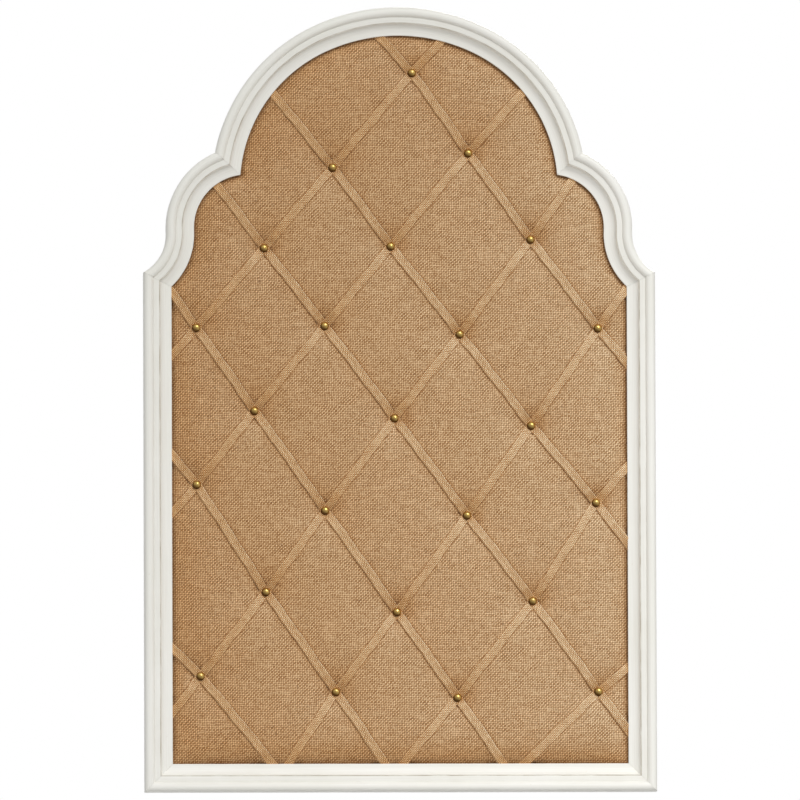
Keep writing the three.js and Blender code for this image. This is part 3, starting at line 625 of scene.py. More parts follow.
def with_painted_light(look, colour):
    """A cloth's colour with painted light and shade: richer and darker on the left, in the crown, in nooks
    and where it faces down, and paler where it faces the light."""
    x, _, z = look.split(look.place())
    # Painted light and shade: paler where the cloth faces the light and to the right, darker in the crown and
    # in nooks.
    light = look.math("MULTIPLY_ADD", look.minus(x, PAINTED_LIGHT_MIDDLE), PAINTED_LIGHT_DRIFT, facing_up(look))
    climb = look.math("MAXIMUM", look.minus(z, CROWN_SHADE_FROM), 0)
    light = look.minus(light, look.times(climb, CROWN_SHADE_GAIN))
    light = look.plus(light, look.fit(look.openness(NOOK_SHADE_REACH), NOOK_SHADE_SHARE, 1, -NOOK_SHADE_GAIN, 0))
    share = look.share(light, -PAINTED_LIGHT_TURN, PAINTED_LIGHT_TURN)
    return look.dyed(colour, look.mix(share, PAINTED_SHADE_TINT, PAINTED_LIGHT_TINT))


def blotches(look, place, scale, strength, warm, cool):
    """A colour that drifts between two tints, for dyeing."""
    return look.mix(look.share(look.noise(place, scale, 3), most=strength), warm, cool)


def burlap_finish():
    look = Finish("burlap", Roughness=0.7, Specular_IOR_Level=0.25, Sheen_Weight=0.1)
    place = look.place()
    x, _, z = look.split(place)
    colour, height = weave(look, x, z, BURLAP_PITCH, gap=0.7, lean=0.4, shades=BURLAP_SHADES)
    hue = blotches(look, place, 26, 0.9, tint(252, 249, 240), tint(249, 248, 240))
    colour = look.dyed(colour, hue)
    specks = look.share(look.noise(place, 420, 1), 0.66, 0.74, 0.45)
    colour = look.mix(specks, colour, tint(86, 54, 28))
    # Painted shade: darker brown where the cloth is hemmed in, at creases, nail pits and tape edges.
    crease = look.fit(look.openness(CREASE_SHADE_REACH), *CREASE_SHADE_SPAN, CREASE_SHADE_SHARE, 0)
    colour = look.mix(crease, colour, tint(74, 42, 18))
    return look.finish(with_painted_light(look, colour), normal=look.bump(height, 0.4 * MM, 0.6))


def ribbon_finish(name, shades):
    look = Finish(name, Roughness=0.95, Specular_IOR_Level=0.15, Sheen_Weight=0.1)
    along, across, _ = look.split(look.place("UV"))
    colour, height = weave(look, across, along, RIBBON_PITCH, gap=0.8, lean=0.4, shades=shades)
    stripe = look.join(look.times(along, 60), look.times(across, 1100))
    streaks = look.mix(look.share(look.noise(stripe, 1)), tint(216, 208, 198), WHITE)
    colour = look.dyed(colour, streaks)
    return look.finish(with_painted_light(look, colour), normal=look.bump(height, 0.25 * MM, 0.7))


def paint_finish():
    look = Finish("painted_wood", Roughness=0.42, Specular_IOR_Level=0.4)
    place = look.place()
    along, across, _ = look.split(look.place("UV"))
    brush = look.join(look.times(along, 9), look.times(across, 700))
    streaks = look.noise(brush, 1, 3)
    colour = look.mix(look.share(streaks), tint(237, 235, 228), tint(243, 242, 236))
    colour = look.dyed(colour, blotches(look, place, 9, 0.8, WHITE, tint(249, 249, 246)))
    # Painted shade: a patchy warm grey in the quirk, the crease and under the lip.
    crevice_shade = look.node("ShaderNodeAttribute", attribute_name="crevice_shade").outputs["Fac"]
    settled = look.fit(look.noise(place, 45, 3), NOISE_LOW, NOISE_HIGH, 0.25, 1)
    colour = look.mix(look.times(crevice_shade, settled), colour, tint(186, 177, 160))
    scuffs = look.share(look.noise(place, 160), 0.74, 0.8, 0.3)
    colour = look.mix(scuffs, colour, tint(214, 205, 188))
    roughness = look.fit(streaks, 0.2, 0.8, 0.36, 0.52)
    return look.finish(colour, roughness, look.bump(streaks, 0.12 * MM, 0.5))


def brass_finish():
    look = Finish("nail_brass", Metallic=1.0, Coat_Weight=0.25, Coat_Roughness=0.2)
    worn = look.noise(look.place(), 900, 3)
    colour = look.mix(look.share(worn, 0.35, 0.65), tint(184, 150, 78), tint(212, 180, 106))
    # Painted shade: dark brown on the side of each dome that faces away from the light.
    shaded_side = look.fit(facing_up(look), -SHADED_SIDE_TURN, SHADED_SIDE_TURN, SHADED_SIDE_SHARE, 0)
    colour = look.mix(shaded_side, colour, tint(80, 52, 10))
    roughness = look.fit(worn, NOISE_LOW, NOISE_HIGH, 0.26, 0.36)
    return look.finish(colour, roughness, look.bump(worn, 0.08 * MM, 0.4))


def steel_finish():
    look = Finish("hanger_steel", Metallic=1.0)
    place = look.place()
    mottle = look.share(look.noise(place, 500, 3))
    colour = look.mix(mottle, tint(168, 168, 164), tint(206, 206, 200))
    scratches = look.noise(look.scaled(place, 3000, 400, 120), 1)
    roughness = look.fit(scratches, NOISE_LOW, NOISE_HIGH, 0.28, 0.46)
    return look.finish(colour, roughness, look.bump(scratches, 0.03 * MM, 0.4))


def rubber_finish():
    look = Finish("bumper_rubber", Roughness=0.8, Specular_IOR_Level=0.3)
    place = look.place()
    grain = look.noise(place, 1500, 3)
    dust = look.share(look.noise(place, 240, 3), 0.4, 0.75, 0.5)
    colour = look.mix(dust, tint(36, 35, 34), tint(84, 80, 75))
    return look.finish(colour, normal=look.bump(grain, 0.1 * MM, 0.5))


def hardboard_finish():
    look = Finish("hardboard", Roughness=0.62, Specular_IOR_Level=0.3)
    place = look.place()
    fibres = look.noise(look.scaled(place, 1, 1, 0.6), 700, 4, 0.65)
    colour = look.mix(look.share(fibres), tint(104, 72, 46), tint(134, 98, 66))
    flecks = look.share(look.noise(place, 330), 0.62, 0.72, 0.5)
    colour = look.mix(flecks, colour, tint(70, 46, 28))
    colour = look.dyed(colour, blotches(look, place, 7, 0.8, WHITE, tint(232, 226, 220)))
    return look.finish(colour, normal=look.bump(fibres, 0.12 * MM, 0.4))


def fibre_finish(name, dark, pale, scale, distance):
    """Batting, fibreboard and bare wood: two tones along fine fibres."""
    look = Finish(name, Roughness=0.95, Specular_IOR_Level=0.15)
    fibres = look.noise(look.scaled(look.place(), 1, 1, 0.35), scale, 4, 0.6)
    colour = look.mix(look.share(fibres), dark, pale)
    return look.finish(colour, normal=look.bump(fibres, distance, 0.6))


PAINT = paint_finish()
BURLAP = burlap_finish()
TAPE_NAMES = {"right": "upper_tape", "left": "lower_tape"}
RIBBON_TAPES = {family: ribbon_finish(name, RIBBON_SHADES[family]) for family, name in TAPE_NAMES.items()}
BRASS = brass_finish()
STEEL = steel_finish()
RUBBER = rubber_finish()
HARDBOARD = hardboard_finish()
BATTING = fibre_finish("batting", tint(226, 221, 208), tint(246, 242, 232), 320, 0.6 * MM)
FIBREBOARD = fibre_finish("fibreboard", tint(160, 136, 104), tint(190, 166, 134), 600, 0.2 * MM)
BARE_WOOD = fibre_finish("spline_wood", tint(186, 150, 104), tint(212, 180, 134), 420, 0.15 * MM)


# Frame members

def round_corner(centre, start, end):
    """Points round an arris, with angles in degrees."""
    return polar(centre, ARRIS, np.radians(np.linspace(start, end, ARRIS_POINTS)))


def moulding_section():
    """The moulding's section from its outer back corner round, with how much painted crevice shade each point
    takes.
    """
    bead_base = BEAD_HEIGHT - BEAD_RISE
    bead_end = math.pi - math.asin((FILLET_HEIGHT - bead_base) / BEAD_RISE)
    turns = np.linspace(0, bead_end, BEAD_POINTS)
    bead = stacked(BEAD_HALF_WIDTH * (1 - np.cos(turns)), bead_base + BEAD_RISE * np.sin(turns))
    crease = bead[-1]
    turns = np.linspace(*COVE_ARC, COVE_POINTS)
    cove = stacked(FACE_WIDTH - COVE_WIDTH * np.cos(turns), SIGHT_HEIGHT + COVE_DROP * (1 - np.sin(turns)))
    quirk_start = np.array([FACE_WIDTH - COVE_WIDTH - QUIRK_WIDTH, FILLET_HEIGHT])
    quirk = quirk_start + np.array(QUIRK_LINE) * [1, -1]
    sight = round_corner([FACE_WIDTH - ARRIS, SIGHT_HEIGHT - ARRIS], 70, 0)
    back_outer = round_corner([ARRIS, ARRIS], 270, 180)
    back_inner = round_corner([RABBET_INSET - ARRIS, ARRIS], 360, 270)
    stretches = [
        (back_outer, 0),
        (bead[:-1], 0),
        (crease[None], 0.35),
        (np.array([crease + [CREASE_WIDTH, 0]]), 0.1),
        (quirk[:1], 0.05),
        (quirk[1:5], 1),
        (quirk[5:], 0.2),
        (cove, 0),
        (sight, 0),
        (np.array([[FACE_WIDTH, LIP_BOTTOM], [RABBET_INSET, LIP_BOTTOM]]), 0.3),
        (back_inner, 0),
    ]
    section = np.concatenate([points for points, _ in stretches])
    crevice_shade = np.concatenate([np.full(len(points), value) for points, value in stretches])
    return section, crevice_shade


SECTION, CREVICE_SHADE = moulding_section()
SECTION_RINGS = np.stack([outline(inset) for inset in SECTION[:, 0]], axis=1)
OUTER_RING = outline(0)
INNER_RING = outline(FACE_WIDTH)


def stand_back(section, neighbour, corner):
    """A member's end section, moved along the member by half the joint's gap."""
    run = unit(neighbour - section)
    square_to_joint = right_of(INNER_RING[corner] - OUTER_RING[corner])
    slant = np.abs(run @ square_to_joint)
    return section + run * (JOINT_GAP / 2 / slant)[:, None]


def add_member(node, first, last):
    stations = np.arange(first, last + 1) % RING_SIZE
    plan = SECTION_RINGS[stations].copy()
    plan[0] = stand_back(plan[0], plan[1], stations[0])
    plan[-1] = stand_back(plan[-1], plan[-2], stations[-1])
    sections = to_row(plan, SECTION[:, 1])
    along = lengths_along(plan[:, 0])
    across = lengths_round(SECTION)
    piece = sweep(f"{node}_moulding", sections, along, across, PAINT, sharp=30)
    values = np.tile(CREVICE_SHADE, len(stations)).astype(np.float32)
    piece.data.attributes.new("crevice_shade", "FLOAT", "POINT").data.foreach_set("value", values)
    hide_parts(node)


def add_frame():
    corners = [
        0, RIGHT_WAIST, RIGHT_CUSP,
        BOTTOM_LEFT - RIGHT_CUSP, BOTTOM_LEFT - RIGHT_WAIST, BOTTOM_LEFT, RING_SIZE,
    ]
    names = ["right_stile", "right_shoulder", "crown_arch", "left_shoulder", "left_stile", "bottom_rail"]
    for name, first, last in zip(names, corners, corners[1:]):
        add_member(name, first, last)


# Nails and ribbons in plan

def nail_rows():
    """Plan spots of the nails, keyed by node name, with the numbers of the two ribbons through each. A nail
    is named by the letter of its row, from the top, and its place in the row."""
    prefix = "nail_"
    names = sorted(name for name in frame["nodes"] if name.startswith(prefix))
    letters = [name.removeprefix(prefix)[0] for name in names]
    found = {}
    for name, letter in zip(names, letters):
        (x, z), *_ = round_box(name)
        row = ord(letter) - ord("a")
        place = int(name.removeprefix(prefix + letter)) - 1
        column = 2 * place - (letters.count(letter) - 1)
        found[name] = {
            "spot": np.array([x, z - cad_low.z]),
            "right": (row - column) // 2 + 1,
            "left": (row + column) // 2 + 1,
        }
    return found


NAILS = nail_rows()


def ribbon_end(node, nail, side):
    """Where a ribbon's last stretch, above or below its end nail, goes under the frame's lip."""
    corners = np.array([v.co[:] for v in frame["nodes"][node].data.vertices])
    plan = stacked(corners[:, 0], corners[:, 2] - cad_low.z) - nail
    beyond = plan[side * plan[:, 1] > RIBBON_WIDTH]
    reach = np.arange(0, HEIGHT, TUCK_STEP)
    line = nail + reach[:, None] * unit(beyond.mean(axis=0))
    within = inside(line[:, 0], line[:, 1], FACE_WIDTH - RIBBON_TUCK)
    return line[np.argmin(within)]


def resample(line, step):
    lengths = lengths_along(line)
    places = np.linspace(0, lengths[-1], int(lengths[-1] / step) + 1)
    return stacked(*(np.interp(places, lengths, values) for values in line.T))


def soften(line, reach):
    """A line with its bends rounded over a reach, and its ends kept."""
    count = int(2 * reach / RIBBON_STEP) | 1
    weights = np.hanning(count + 2)[1:-1]
    weights /= weights.sum()
    pad = count // 2
    before = 2 * line[0] - line[pad:0:-1]
    after = 2 * line[-1] - line[-2:-pad - 2:-1]
    longer = np.concatenate([before, line, after])
    return stacked(*(np.convolve(values, weights, "valid") for values in longer.T))


def sideways(path):
    """Unit vectors across a plan line."""
    return right_of(np.gradient(path, axis=0))


def risen(distance):
    """How far a ribbon is up again, from 0 to 1, at a distance from a nail: out of its dip, then its sag."""
    dip = np.exp(-((distance / DIP_REACH) ** DIP_POWER))
    sag = np.exp(-((distance / SAG_REACH) ** DIP_POWER))
    return 1 - DIP_SHARE * dip - (1 - DIP_SHARE) * sag


def ribbon_lift(path, corners):
    """Lift along a ribbon: down at its nails and at the rim, and up between them."""
    lengths = lengths_along(path)
    places = lengths_along(corners)
    places *= lengths[-1] / places[-1]
    lift = np.zeros(len(path))
    for k in range(len(corners) - 1):
        on_stretch = (lengths >= places[k]) & (lengths <= places[k + 1])
        away_start = risen(lengths[on_stretch] - places[k])
        away_end = risen(places[k + 1] - lengths[on_stretch])
        start_dip = NAIL_DIP if k > 0 else 0
        end_dip = NAIL_DIP if k < len(corners) - 2 else 0
        rise = CHANNEL_RISE * min(1, (places[k + 1] - places[k]) / FULL_SPAN)
        lift[on_stretch] = (
            rise * away_start * away_end - start_dip * (1 - away_start) - end_dip * (1 - away_end))
    return lift


def sway(line, number):
    """A line that strays a little from side to side, as tape laid by hand does."""
    place = lengths_along(line) / SWAY_LENGTH
    stray = sum(share * np.sin(rate * place + shift * number) for share, rate, shift in SWAY_WAVES)
    return line + (SWAY * stray)[:, None] * sideways(line)


def plan_ribbon(family, number):
    name = f"ribbon_{family}_{number}"
    spots = [nail["spot"] for nail in NAILS.values() if nail[family] == number]
    spots.sort(key=lambda spot: -spot[1])
    corners = np.array([ribbon_end(name, spots[0], 1), *spots, ribbon_end(name, spots[-1], -1)])
    path = sway(soften(resample(corners, RIBBON_STEP), BEND_REACH), number)
    lift = ribbon_lift(path, corners)
    from_nail = np.min([np.linalg.norm(path - spot, axis=1) for spot in spots], axis=0)
    return {"name": name, "family": family, "path": path, "lift": lift, "from_nail": from_nail}


RIBBONS = [plan_ribbon(family, number) for family in FAMILIES for number in range(1, RIBBON_COUNT + 1)]


# Padding

pad_x = np.arange(-math.ceil(HALF_WIDTH / PAD_GRID), math.ceil(HALF_WIDTH / PAD_GRID) + 1) * PAD_GRID
pad_up = np.arange(0, math.ceil(HEIGHT / PAD_GRID) + 1) * PAD_GRID


def blend(values, row, column):
    """Values of a grid at places between its points."""
    r, c = row.astype(int), column.astype(int)
    t, s = row - r, column - c
    low = values[r, c] * (1 - s) + values[r, c + 1] * s
    high = values[r + 1, c] * (1 - s) + values[r + 1, c + 1] * s
    return low * (1 - t) + high * t


def lift_at(plan, lift):
    """A lift at plan points."""
    column = np.clip((plan[:, 0] - pad_x[0]) / PAD_GRID, 0, len(pad_x) - GRID_END)
    row = np.clip(plan[:, 1] / PAD_GRID, 0, len(pad_up) - GRID_END)
    return blend(lift, row, column)


def relax(lift, free):
    """The lift of a stretched skin on batting that swells to a full pillow, with the other points held."""
    rows, columns = np.indices(lift.shape)
    chequers = [(free & ((rows + columns) % 2 == turn))[1:-1, 1:-1] for turn in (0, 1)]
    core = lift[1:-1, 1:-1]
    push = (PAD_GRID / PILLOW_ROLL) ** 2
    for _ in range(PAD_ROUNDS):
        for chequer in chequers:
            around = lift[:-2, 1:-1] + lift[2:, 1:-1] + lift[1:-1, :-2] + lift[1:-1, 2:]
            settled = (around + push * PILLOW_RISE) / (4 + push)
            core += np.where(chequer, PAD_OVERSHOOT * (settled - core), 0)
    return lift


def cover_cloth(lift, free):
    """The cover as a simulated cloth of its own, flat in plan, with its held points pinned."""
    x, up = np.meshgrid(pad_x[::PUFF_STRIDE], pad_up[::PUFF_STRIDE])
    mesh = bpy.data.meshes.new("cover_cloth")
    mesh.from_pydata(stacked(x, up, lift).reshape(-1, 3), [], grid_quads(*lift.shape, False))
    cloth = placed("cover_cloth", mesh)
    pinned = cloth.vertex_groups.new(name="held")
    pinned.add(np.flatnonzero(~free).tolist(), 1, "REPLACE")
    rules = cloth.modifiers.new("puff", "CLOTH")
    rules.settings.vertex_group_mass = pinned.name
    rules.settings.mass = PUFF_MASS
    rules.settings.use_pressure = True
    rules.settings.uniform_pressure_force = PUFF_PRESSURE
    rules.settings.effector_weights.gravity = 0
    rules.collision_settings.use_collision = False
    rules.point_cache.frame_end = PUFF_FRAMES
    return cloth


def finer(coarse, shape):
    """A coarse grid's values at the points of the full grid."""
    row, column = np.indices(shape) / PUFF_STRIDE
    last_row, last_column = (count - GRID_END for count in coarse.shape)
    return blend(coarse, np.minimum(row, last_row), np.minimum(column, last_column))


def puff(lift, free):
    """The lift after its batting has pushed the cover out in a cloth simulation, by no more than a cap."""
    start = lift[::PUFF_STRIDE, ::PUFF_STRIDE]
    cloth = cover_cloth(start, free[::PUFF_STRIDE, ::PUFF_STRIDE])
    for number in range(1, PUFF_FRAMES + 1):
        scene.frame_set(number)
    settled = cloth.evaluated_get(bpy.context.evaluated_depsgraph_get()).data
    places = np.empty(3 * start.size)
    settled.vertices.foreach_get("co", places)
    gain = np.clip(places.reshape(*start.shape, 3)[..., 2] - start, -PUFF_CAP, PUFF_CAP)
    scene.frame_set(1)
    bpy.data.objects.remove(cloth)
    return lift + np.where(free, finer(gain, lift.shape), 0)


def pad_lift():
    """Lift of the cover above its rim over the whole plan: held by the ribbons and the rim, full between."""
    x, up = np.meshgrid(pad_x, pad_up)
    free = inside(x, up, RIM_INSET)
    held = np.zeros(x.shape)
    for ribbon in RIBBONS:
        across = sideways(ribbon["path"])
        for offset in np.linspace(-0.5, 0.5, HELD_LINES) * RIBBON_WIDTH:
            spots = ribbon["path"] + offset * across
            column = np.rint((spots[:, 0] - pad_x[0]) / PAD_GRID).astype(int)
            row = np.rint(spots[:, 1] / PAD_GRID).astype(int)
            held[row, column] = ribbon["lift"]
            free[row, column] = False
    lift = relax(held, free)
    return puff(lift, free)


def lowest_near(lift):
    """The least lift within one step of the hidden layers' coarser net, so that they stay under the cover."""
    reach = round(INNER_GRID / PAD_GRID)
    wide = np.pad(lift, reach, mode="edge")
    rows, columns = lift.shape
    shifts = range(2 * reach + 1)
    return np.min([wide[r:r + rows, c:c + columns] for r in shifts for c in shifts], axis=0)


PAD = pad_lift()
HIDDEN_PAD = lowest_near(PAD)


# Soft layers

def panel_net(inset, grid):
    """A net of triangles over the plan inside a ring, as points and faces. The ring's points come first."""
    ring = outline(inset)
    reach = HALF_WIDTH // grid * grid
    x, up = np.meshgrid(np.arange(-reach, reach + grid / 2, grid), np.arange(grid, HEIGHT, grid))
    kept = inside(x, up, inset + NET_MARGIN * grid)
    points = np.concatenate([ring, stacked(x[kept], up[kept])])
    edges = [(k, (k + 1) % RING_SIZE) for k in range(RING_SIZE)]
    spots, _, faces, *_ = delaunay_2d_cdt([Vector(p) for p in points], edges, [], 1, NET_TOLERANCE)
    return np.array([spot[:] for spot in spots]), faces


def bridge(first, second):
    """Quads between two rings, given where their points start."""
    k = np.arange(RING_SIZE)
    after = (k + 1) % RING_SIZE
    return stacked(first + k, first + after, second + after, second + k).tolist()


def layered(name, layers, material):
    """A closed piece from a front net, rings behind it, and a back net or none. Each layer is given as
    points of the part's frame and its own faces, and holds a ring first."""
    points, faces, starts = [], [], []
    count = 0
    for layer_points, layer_faces in layers:
        starts.append(count)
        points.append(layer_points)
        faces += [[count + k for k in face] for face in layer_faces]
        count += len(layer_points)
    for start, following in zip(starts, starts[1:]):
        faces += bridge(start, following)
    return add_piece(name, np.concatenate(points), faces, material, sharp=60)


def net_layer(inset, grid, rim_height, lift):
    plan, faces = panel_net(inset, grid)
    return to_row(plan, rim_height + lift_at(plan, lift)), faces


def ring_layer(inset, height):
    return to_row(outline(inset), height), []


def add_cover():
    inner = COVER_INSET + COVER_THICKNESS
    piece = layered("burlap_cloth", [
        net_layer(COVER_INSET, COVER_GRID, COVER_RIM, PAD),
        ring_layer(COVER_INSET, RETURN_BOTTOM),
        ring_layer(COVER_INSET + COVER_RETURN, RETURN_BOTTOM),
        ring_layer(COVER_INSET + COVER_RETURN, RETURN_BOTTOM + COVER_THICKNESS),
        ring_layer(inner, RETURN_BOTTOM + COVER_THICKNESS),
        net_layer(inner, INNER_GRID, COVER_RIM - COVER_THICKNESS, HIDDEN_PAD),
    ], BURLAP)
    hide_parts("burlap_cover")


def add_batting():
    plan, faces = panel_net(BATTING_INSET, INNER_GRID)
    top = to_row(plan, BATTING_RIM + lift_at(plan, HIDDEN_PAD))
    bottom = to_row(plan, BATTING_BOTTOM)
    piece = layered("batting_pad", [(top, faces), (bottom, faces)], BATTING)
    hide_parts("batting")


def tape_section():
    """A tape's section: soft edges and a faint crease down the middle."""
    left = TAPE_BOTTOM + TAPE_TOP
    right = [(-x, y) for x, y in left[1:-1]]
    return np.array(left + right[::-1])


def add_ribbon(ribbon):
    """A tape along its path: pressed at its nails, thin where it goes under the lip, and, on top, lifted
    where it crosses the lower tapes."""
    path, family, from_nail = ribbon["path"], ribbon["family"], ribbon["from_nail"]
    section = tape_section()
    along = lengths_along(path)
    from_end = np.minimum(along, along[-1] - along)
    tucked = np.exp(-((from_end / TUCK_REACH) ** 4))
    pressed = 1 - PRESS_SHARE * np.exp(-((from_nail / PRESS_REACH) ** 2))
    full, thin = RIBBON_THICKNESS[family], RIBBON_THICKNESS["left"]
    thickness = full * pressed * (1 - tucked) + thin * tucked
    base = COVER_RIM + lift_at(path, PAD)
    if family == "right":
        base = base + thin * np.exp(-((from_nail / CROSSING_REACH) ** 4))
    plan = path[:, None, :] + section[None, :, :1] * RIBBON_WIDTH * sideways(path)[:, None, :]
    heights = base[:, None] + thickness[:, None] * section[None, :, 1]
    sections = to_row(plan, heights)
    around = lengths_round(section * [RIBBON_WIDTH, full])
    name = f"{ribbon['name']}_tape"
    piece = sweep(name, sections, along, around, RIBBON_TAPES[family], sharp=70)
    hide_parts(ribbon["name"])


def add_nail(name):
    centre, head, front, back = round_box(name)
    under = front + NAIL_DOME
    turns = np.linspace(math.pi / 2, 0, DOME_POINTS)
    dome = [(head * math.cos(t), under - NAIL_DOME * math.sin(t)) for t in turns]
    profile = [
        *dome, (head * NAIL_RIM_SHARE, under + NAIL_RIM), (NAIL_SHANK, under + NAIL_HOLLOW),
        (NAIL_SHANK, back - NAIL_POINT), (0, back),
    ]
    piece = turned(f"{name}_head", profile, centre, ROUND_SIDES, BRASS)
    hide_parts(name)


# Back of the board

def add_back_cover():
    low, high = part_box("back_cover")
    back, front = FRAME_BACK - high.y, FRAME_BACK - low.y
    rings = [(COVER_INSET + PANEL_EDGE, back), (COVER_INSET, back + PANEL_EDGE), (COVER_INSET, front)]
    points = np.concatenate([ring_layer(inset, height)[0] for inset, height in rings])
    faces = bridge(0, RING_SIZE) + bridge(RING_SIZE, 2 * RING_SIZE)
    faces += [list(range(RING_SIZE)), list(range(2 * RING_SIZE, 3 * RING_SIZE))]
    piece = add_piece("back_panel", points, faces, HARDBOARD, sharp=30)
    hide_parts("back_cover")


def add_staples():
    """Staples across the gap between the frame's back and the back cover, as one piece."""
    half = STAPLE_LENGTH / 2
    wire = [(-half, STAPLE_DEPTH), (-half, -STAPLE_PROUD), (half, -STAPLE_PROUD), (half, STAPLE_DEPTH)]
    corners = [(-1, -1), (1, -1), (1, 1), (-1, 1)]
    outer, inner = outline(RABBET_INSET - half), outline(RABBET_INSET + half)
    points, faces = [], []
    for station in RIGHT_STAPLES + LEFT_STAPLES + BOTTOM_STAPLES:
        middle = (inner[station] + outer[station]) / 2
        run = inner[station] - outer[station]
        along, across = unit(run), right_of(run)
        start, last = len(points), len(points) + 4 * (len(wire) - 1)
        for reach, height in wire:
            for side, lift in corners:
                corner = middle + along * reach + across * side * STAPLE_WIRE / 2
                points.append(to_row(corner, height - lift * STAPLE_WIRE / 3))
        faces += (grid_quads(len(wire), 4, True) + start).tolist()
        faces += [list(range(start, start + 4)), list(range(last, last + 4))]
    piece = add_piece("back_staples", np.array(points), faces, STEEL, sharp=50)
    piece.modifiers.new("soft_edges", "BEVEL").width = STAPLE_BEVEL


def add_strap(side, axis):
    """A hanger's strap: flat on the frame and curled round the bar of its ring."""
    node = f"{side}_hanger_strap"
    low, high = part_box(node)
    inner = RING_WIRE / 2 + LOOP_CLEARANCE
    outer = inner + STRAP_THICKNESS
    turns = np.radians(np.linspace(*LOOP_ARC, LOOP_POINTS))
    foot = low.z - axis[2]
    loop = np.concatenate([
        [(foot, -outer)], polar((0, 0), outer, turns), polar((0, 0), inner, turns[::-1]), [(foot, -inner)]])
    inward = -right_of(np.gradient(loop, axis=0))
    half = (high.x - low.x) / 2
    steps = [(-half, STRAP_EDGE), (-half + STRAP_EDGE, 0), (half - STRAP_EDGE, 0), (half, STRAP_EDGE)]
    sections = []
    for across, drawn in steps:
        spots = loop + inward * drawn / 2
        sections.append(stacked(axis[0] + across, axis[1] + spots[:, 1], axis[2] + spots[:, 0]))
    along = np.array([place for place, _ in steps]) + half
    piece = sweep(
        f"{side}_strap", np.array(sections), along, lengths_round(loop), STEEL, sharp=35)
    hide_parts(node)


def slot_cutter(size, place, turn):
    """A box that cuts a screw's slot."""
    mesh = bpy.data.meshes.new("slot_cutter")
    box = bmesh.new()
    bmesh.ops.create_cube(box, size=1)
    box.to_mesh(mesh)
    box.free()
    cutter = placed("slot_cutter", mesh)
    cutter.scale = size
    cutter.location = place
    cutter.rotation_euler = (0, math.radians(turn), 0)
    return cutter


def add_screw(side):
    """A round-headed screw with a slot."""
    node = f"{side}_hanger_screw"
    centre, head, tip, top = round_box(node)
    rise = SCREW_HEAD_RISE
    seat = top - rise
    shank = SCREW_DIAMETER / 2
    turns = np.linspace(0, math.pi / 2, SCREW_POINTS)
    dome = [(head * math.sin(t), top - rise * SCREW_CROWN * (1 - math.cos(t))) for t in turns]
    profile = [*dome, (head, seat), (shank, seat), (shank, tip + SCREW_DIAMETER), (0, tip)]
    piece = turned(f"{side}_screw", profile, centre, SCREW_SIDES, STEEL)
    cutter = slot_cutter((3 * head, rise, SLOT_WIDTH), (centre[0], top, centre[1]), SLOT_TURN[side])
    cut = piece.modifiers.new("slot", "BOOLEAN")
    cut.object = cutter
    cut.operation = "DIFFERENCE"
    bpy.context.view_layer.update()
    whole = piece.evaluated_get(bpy.context.evaluated_depsgraph_get())
    piece.data = bpy.data.meshes.new_from_object(whole)
    piece.modifiers.clear()
    bpy.data.objects.remove(cutter)
    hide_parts(node)


def add_ring(side, axis):
    """A D-ring: a bar through the strap's loop, two corners and a bow, leaning on the frame."""
    half = RING_WIDTH / 2
    corner = np.array([half - RING_CORNER, RING_CORNER])
    bar = np.linspace([0, 0], [corner[0], 0], BAR_POINTS)
    bend = arc(corner, RING_CORNER, -math.pi / 2, 0, CORNER_STEPS)
    bow = polar((0, 0), 1, np.linspace(0, math.pi / 2, BOW_POINTS)[1:])
    bow = bow * [half, RING_HEIGHT - RING_CORNER] + [0, RING_CORNER]
    right = np.concatenate([bar, bend, bow])
    path = np.concatenate([right, right[-2:0:-1] * [-1, 1]])
    outward = right_of(np.roll(path, -1, axis=0) - np.roll(path, 1, axis=0))
    lean = math.asin((STRAP_THICKNESS + LOOP_CLEARANCE) / RING_HEIGHT)
    turns = np.linspace(0, 2 * math.pi, WIRE_SIDES, endpoint=False)
    wide = np.cos(turns)[None, :, None] * RING_WIRE / 2
    deep = np.sin(turns)[None, :] * RING_WIRE / 2
    spots = path[:, None] + outward[:, None] * wide
    x, up = spots[..., 0], spots[..., 1]
    y = deep * math.cos(lean) - up * math.sin(lean)
    z = up * math.cos(lean) + deep * math.sin(lean)
    points = stacked(axis[0] + x, axis[1] + y, axis[2] + z).reshape(-1, 3)
    faces = grid_quads(len(path) + 1, WIRE_SIDES, True) % len(points)
    piece = add_piece(f"{side}_ring", points, faces, STEEL, body=f"{side}_ring")
    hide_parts(f"{side}_hanger_ring")


def add_bumper(side):
    node = f"{side}_wall_bumper"
    centre, radius, front, back = round_box(node)
    soft = BUMPER_SOFT
    turns = np.linspace(math.pi / 2, 0, BUMPER_POINTS)
    rim = [(radius - soft + soft * math.cos(t), back - soft + soft * math.sin(t)) for t in turns]
    dish = [(share * radius, back - depth) for share, depth in BUMPER_DISH]
    profile = dish + rim + [(radius, front), (0, front)]
    piece = turned(f"{side}_bumper", profile, centre, ROUND_SIDES, RUBBER)
    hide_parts(node)


# Assembly

add_frame()
add_cover()
add_batting()
for ribbon in RIBBONS:
    add_ribbon(ribbon)
for name in NAILS:
    add_nail(name)
add_back_cover()
add_staples()
for joint in frame["joints"]:
    side = joint["child"].split("_")[0]
    add_strap(side, joint["pos_m"])
    add_screw(side)
    add_ring(side, joint["pos_m"])
    add_bumper(side)
for name, node in frame["nodes"].items():
    if name.startswith("spline_") or name == "core_board":
        node.data.materials.clear()
        node.data.materials.append(FIBREBOARD if name == "core_board" else BARE_WOOD)


# Camera and studio

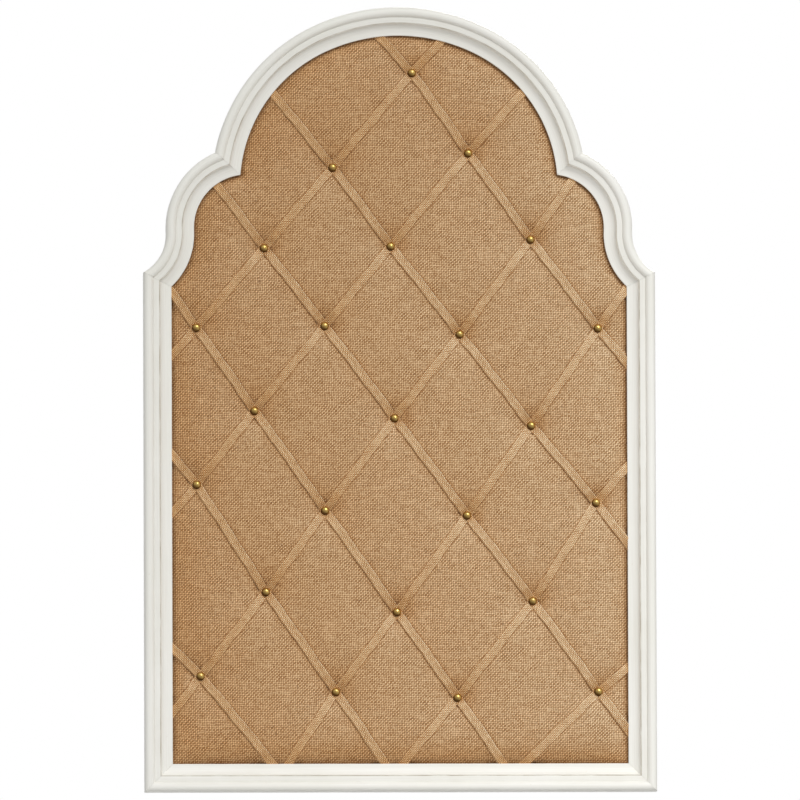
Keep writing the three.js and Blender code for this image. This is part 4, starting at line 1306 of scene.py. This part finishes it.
def add_camera():
    data = bpy.data.cameras.new("camera")
    data.sensor_width = SENSOR_WIDTH
    data.lens = SENSOR_WIDTH * CAMERA_DISTANCE / PICTURE_WIDTH
    camera = placed("camera", data)
    target = Vector((PICTURE_CENTRE[0], cad_low.y, PICTURE_CENTRE[1] + cad_low.z))
    ahead = Vector((math.sin(CAMERA_TURN), math.cos(CAMERA_TURN), math.tan(CAMERA_RISE))).normalized()
    camera.location = target - ahead * CAMERA_DISTANCE
    roll = Quaternion((0, 0, 1), -CAMERA_ROLL)
    camera.rotation_euler = (ahead.to_track_quat("-Z", "Y") @ roll).to_euler()
    scene.camera = camera


def add_lamp(name, place, aim, power):
    data = bpy.data.lights.new(name, "AREA")
    data.shape = "DISK"
    data.size = LAMP_SIZE
    data.spread = LAMP_SPREAD
    data.energy = power
    lamp = placed(name, data)
    lamp.location = place
    lamp.rotation_euler = (Vector(aim) - Vector(place)).to_track_quat("-Z", "Y").to_euler()


def add_world():
    """White where it is seen, straight or in a reflection, and otherwise a soft light from the front."""
    scene.world = bpy.data.worlds.new("studio")
    scene.world.use_nodes = True
    sky = Nodes(scene.world.node_tree)
    sky.tree.nodes.clear()
    path = sky.node("ShaderNodeLightPath").outputs
    seen = sky.math("MAXIMUM", path["Is Camera Ray"], path["Is Glossy Ray"])
    seen = sky.math("MAXIMUM", seen, path["Is Transmission Ray"])
    toward = sky.vector("DOT_PRODUCT", sky.place("Generated"), AMBIENT_FROM)["Value"]
    strength = sky.fit(toward, -1, 1, AMBIENT_LEAST, AMBIENT_MOST)
    soft = sky.node("ShaderNodeBackground", {"Color": WHITE, "Strength": strength}).outputs[0]
    white = sky.node("ShaderNodeBackground", {"Color": WHITE, "Strength": 1}).outputs[0]
    both = sky.node("ShaderNodeMixShader", {0: seen, 1: soft, 2: white}).outputs[0]
    sky.node("ShaderNodeOutputWorld", {"Surface": both})


def add_floor():
    """A pale round floor below the board, which fades out towards its rim."""
    turns = np.linspace(0, 2 * math.pi, FLOOR_SIDES, endpoint=False)
    rim = stacked(FLOOR_RADIUS * np.cos(turns), FLOOR_RADIUS * np.sin(turns), cad_low.z - FLOOR_DROP)
    mesh = bpy.data.meshes.new("floor")
    mesh.from_pydata(rim.tolist(), [], [list(range(FLOOR_SIDES))])
    look = Finish("floor", Roughness=0.9)
    place = look.place()
    reach = look.vector("LENGTH", look.scaled(place, 1, 1, 0))["Value"]
    grain = look.share(look.noise(place, 40, 3))
    mesh.materials.append(look.finish(look.mix(grain, tint(240, 240, 238), tint(246, 246, 244))))
    look.put(look.surface.inputs["Alpha"], look.fit(reach, *FLOOR_FADE, 1, 0))
    placed("floor", mesh)


add_camera()
add_world()
add_floor()
add_lamp("key", KEY_PLACE, KEY_AIM, KEY_POWER)
add_lamp("back", BACK_PLACE, BACK_AIM, BACK_POWER)
scene.view_settings.view_transform = "Standard"
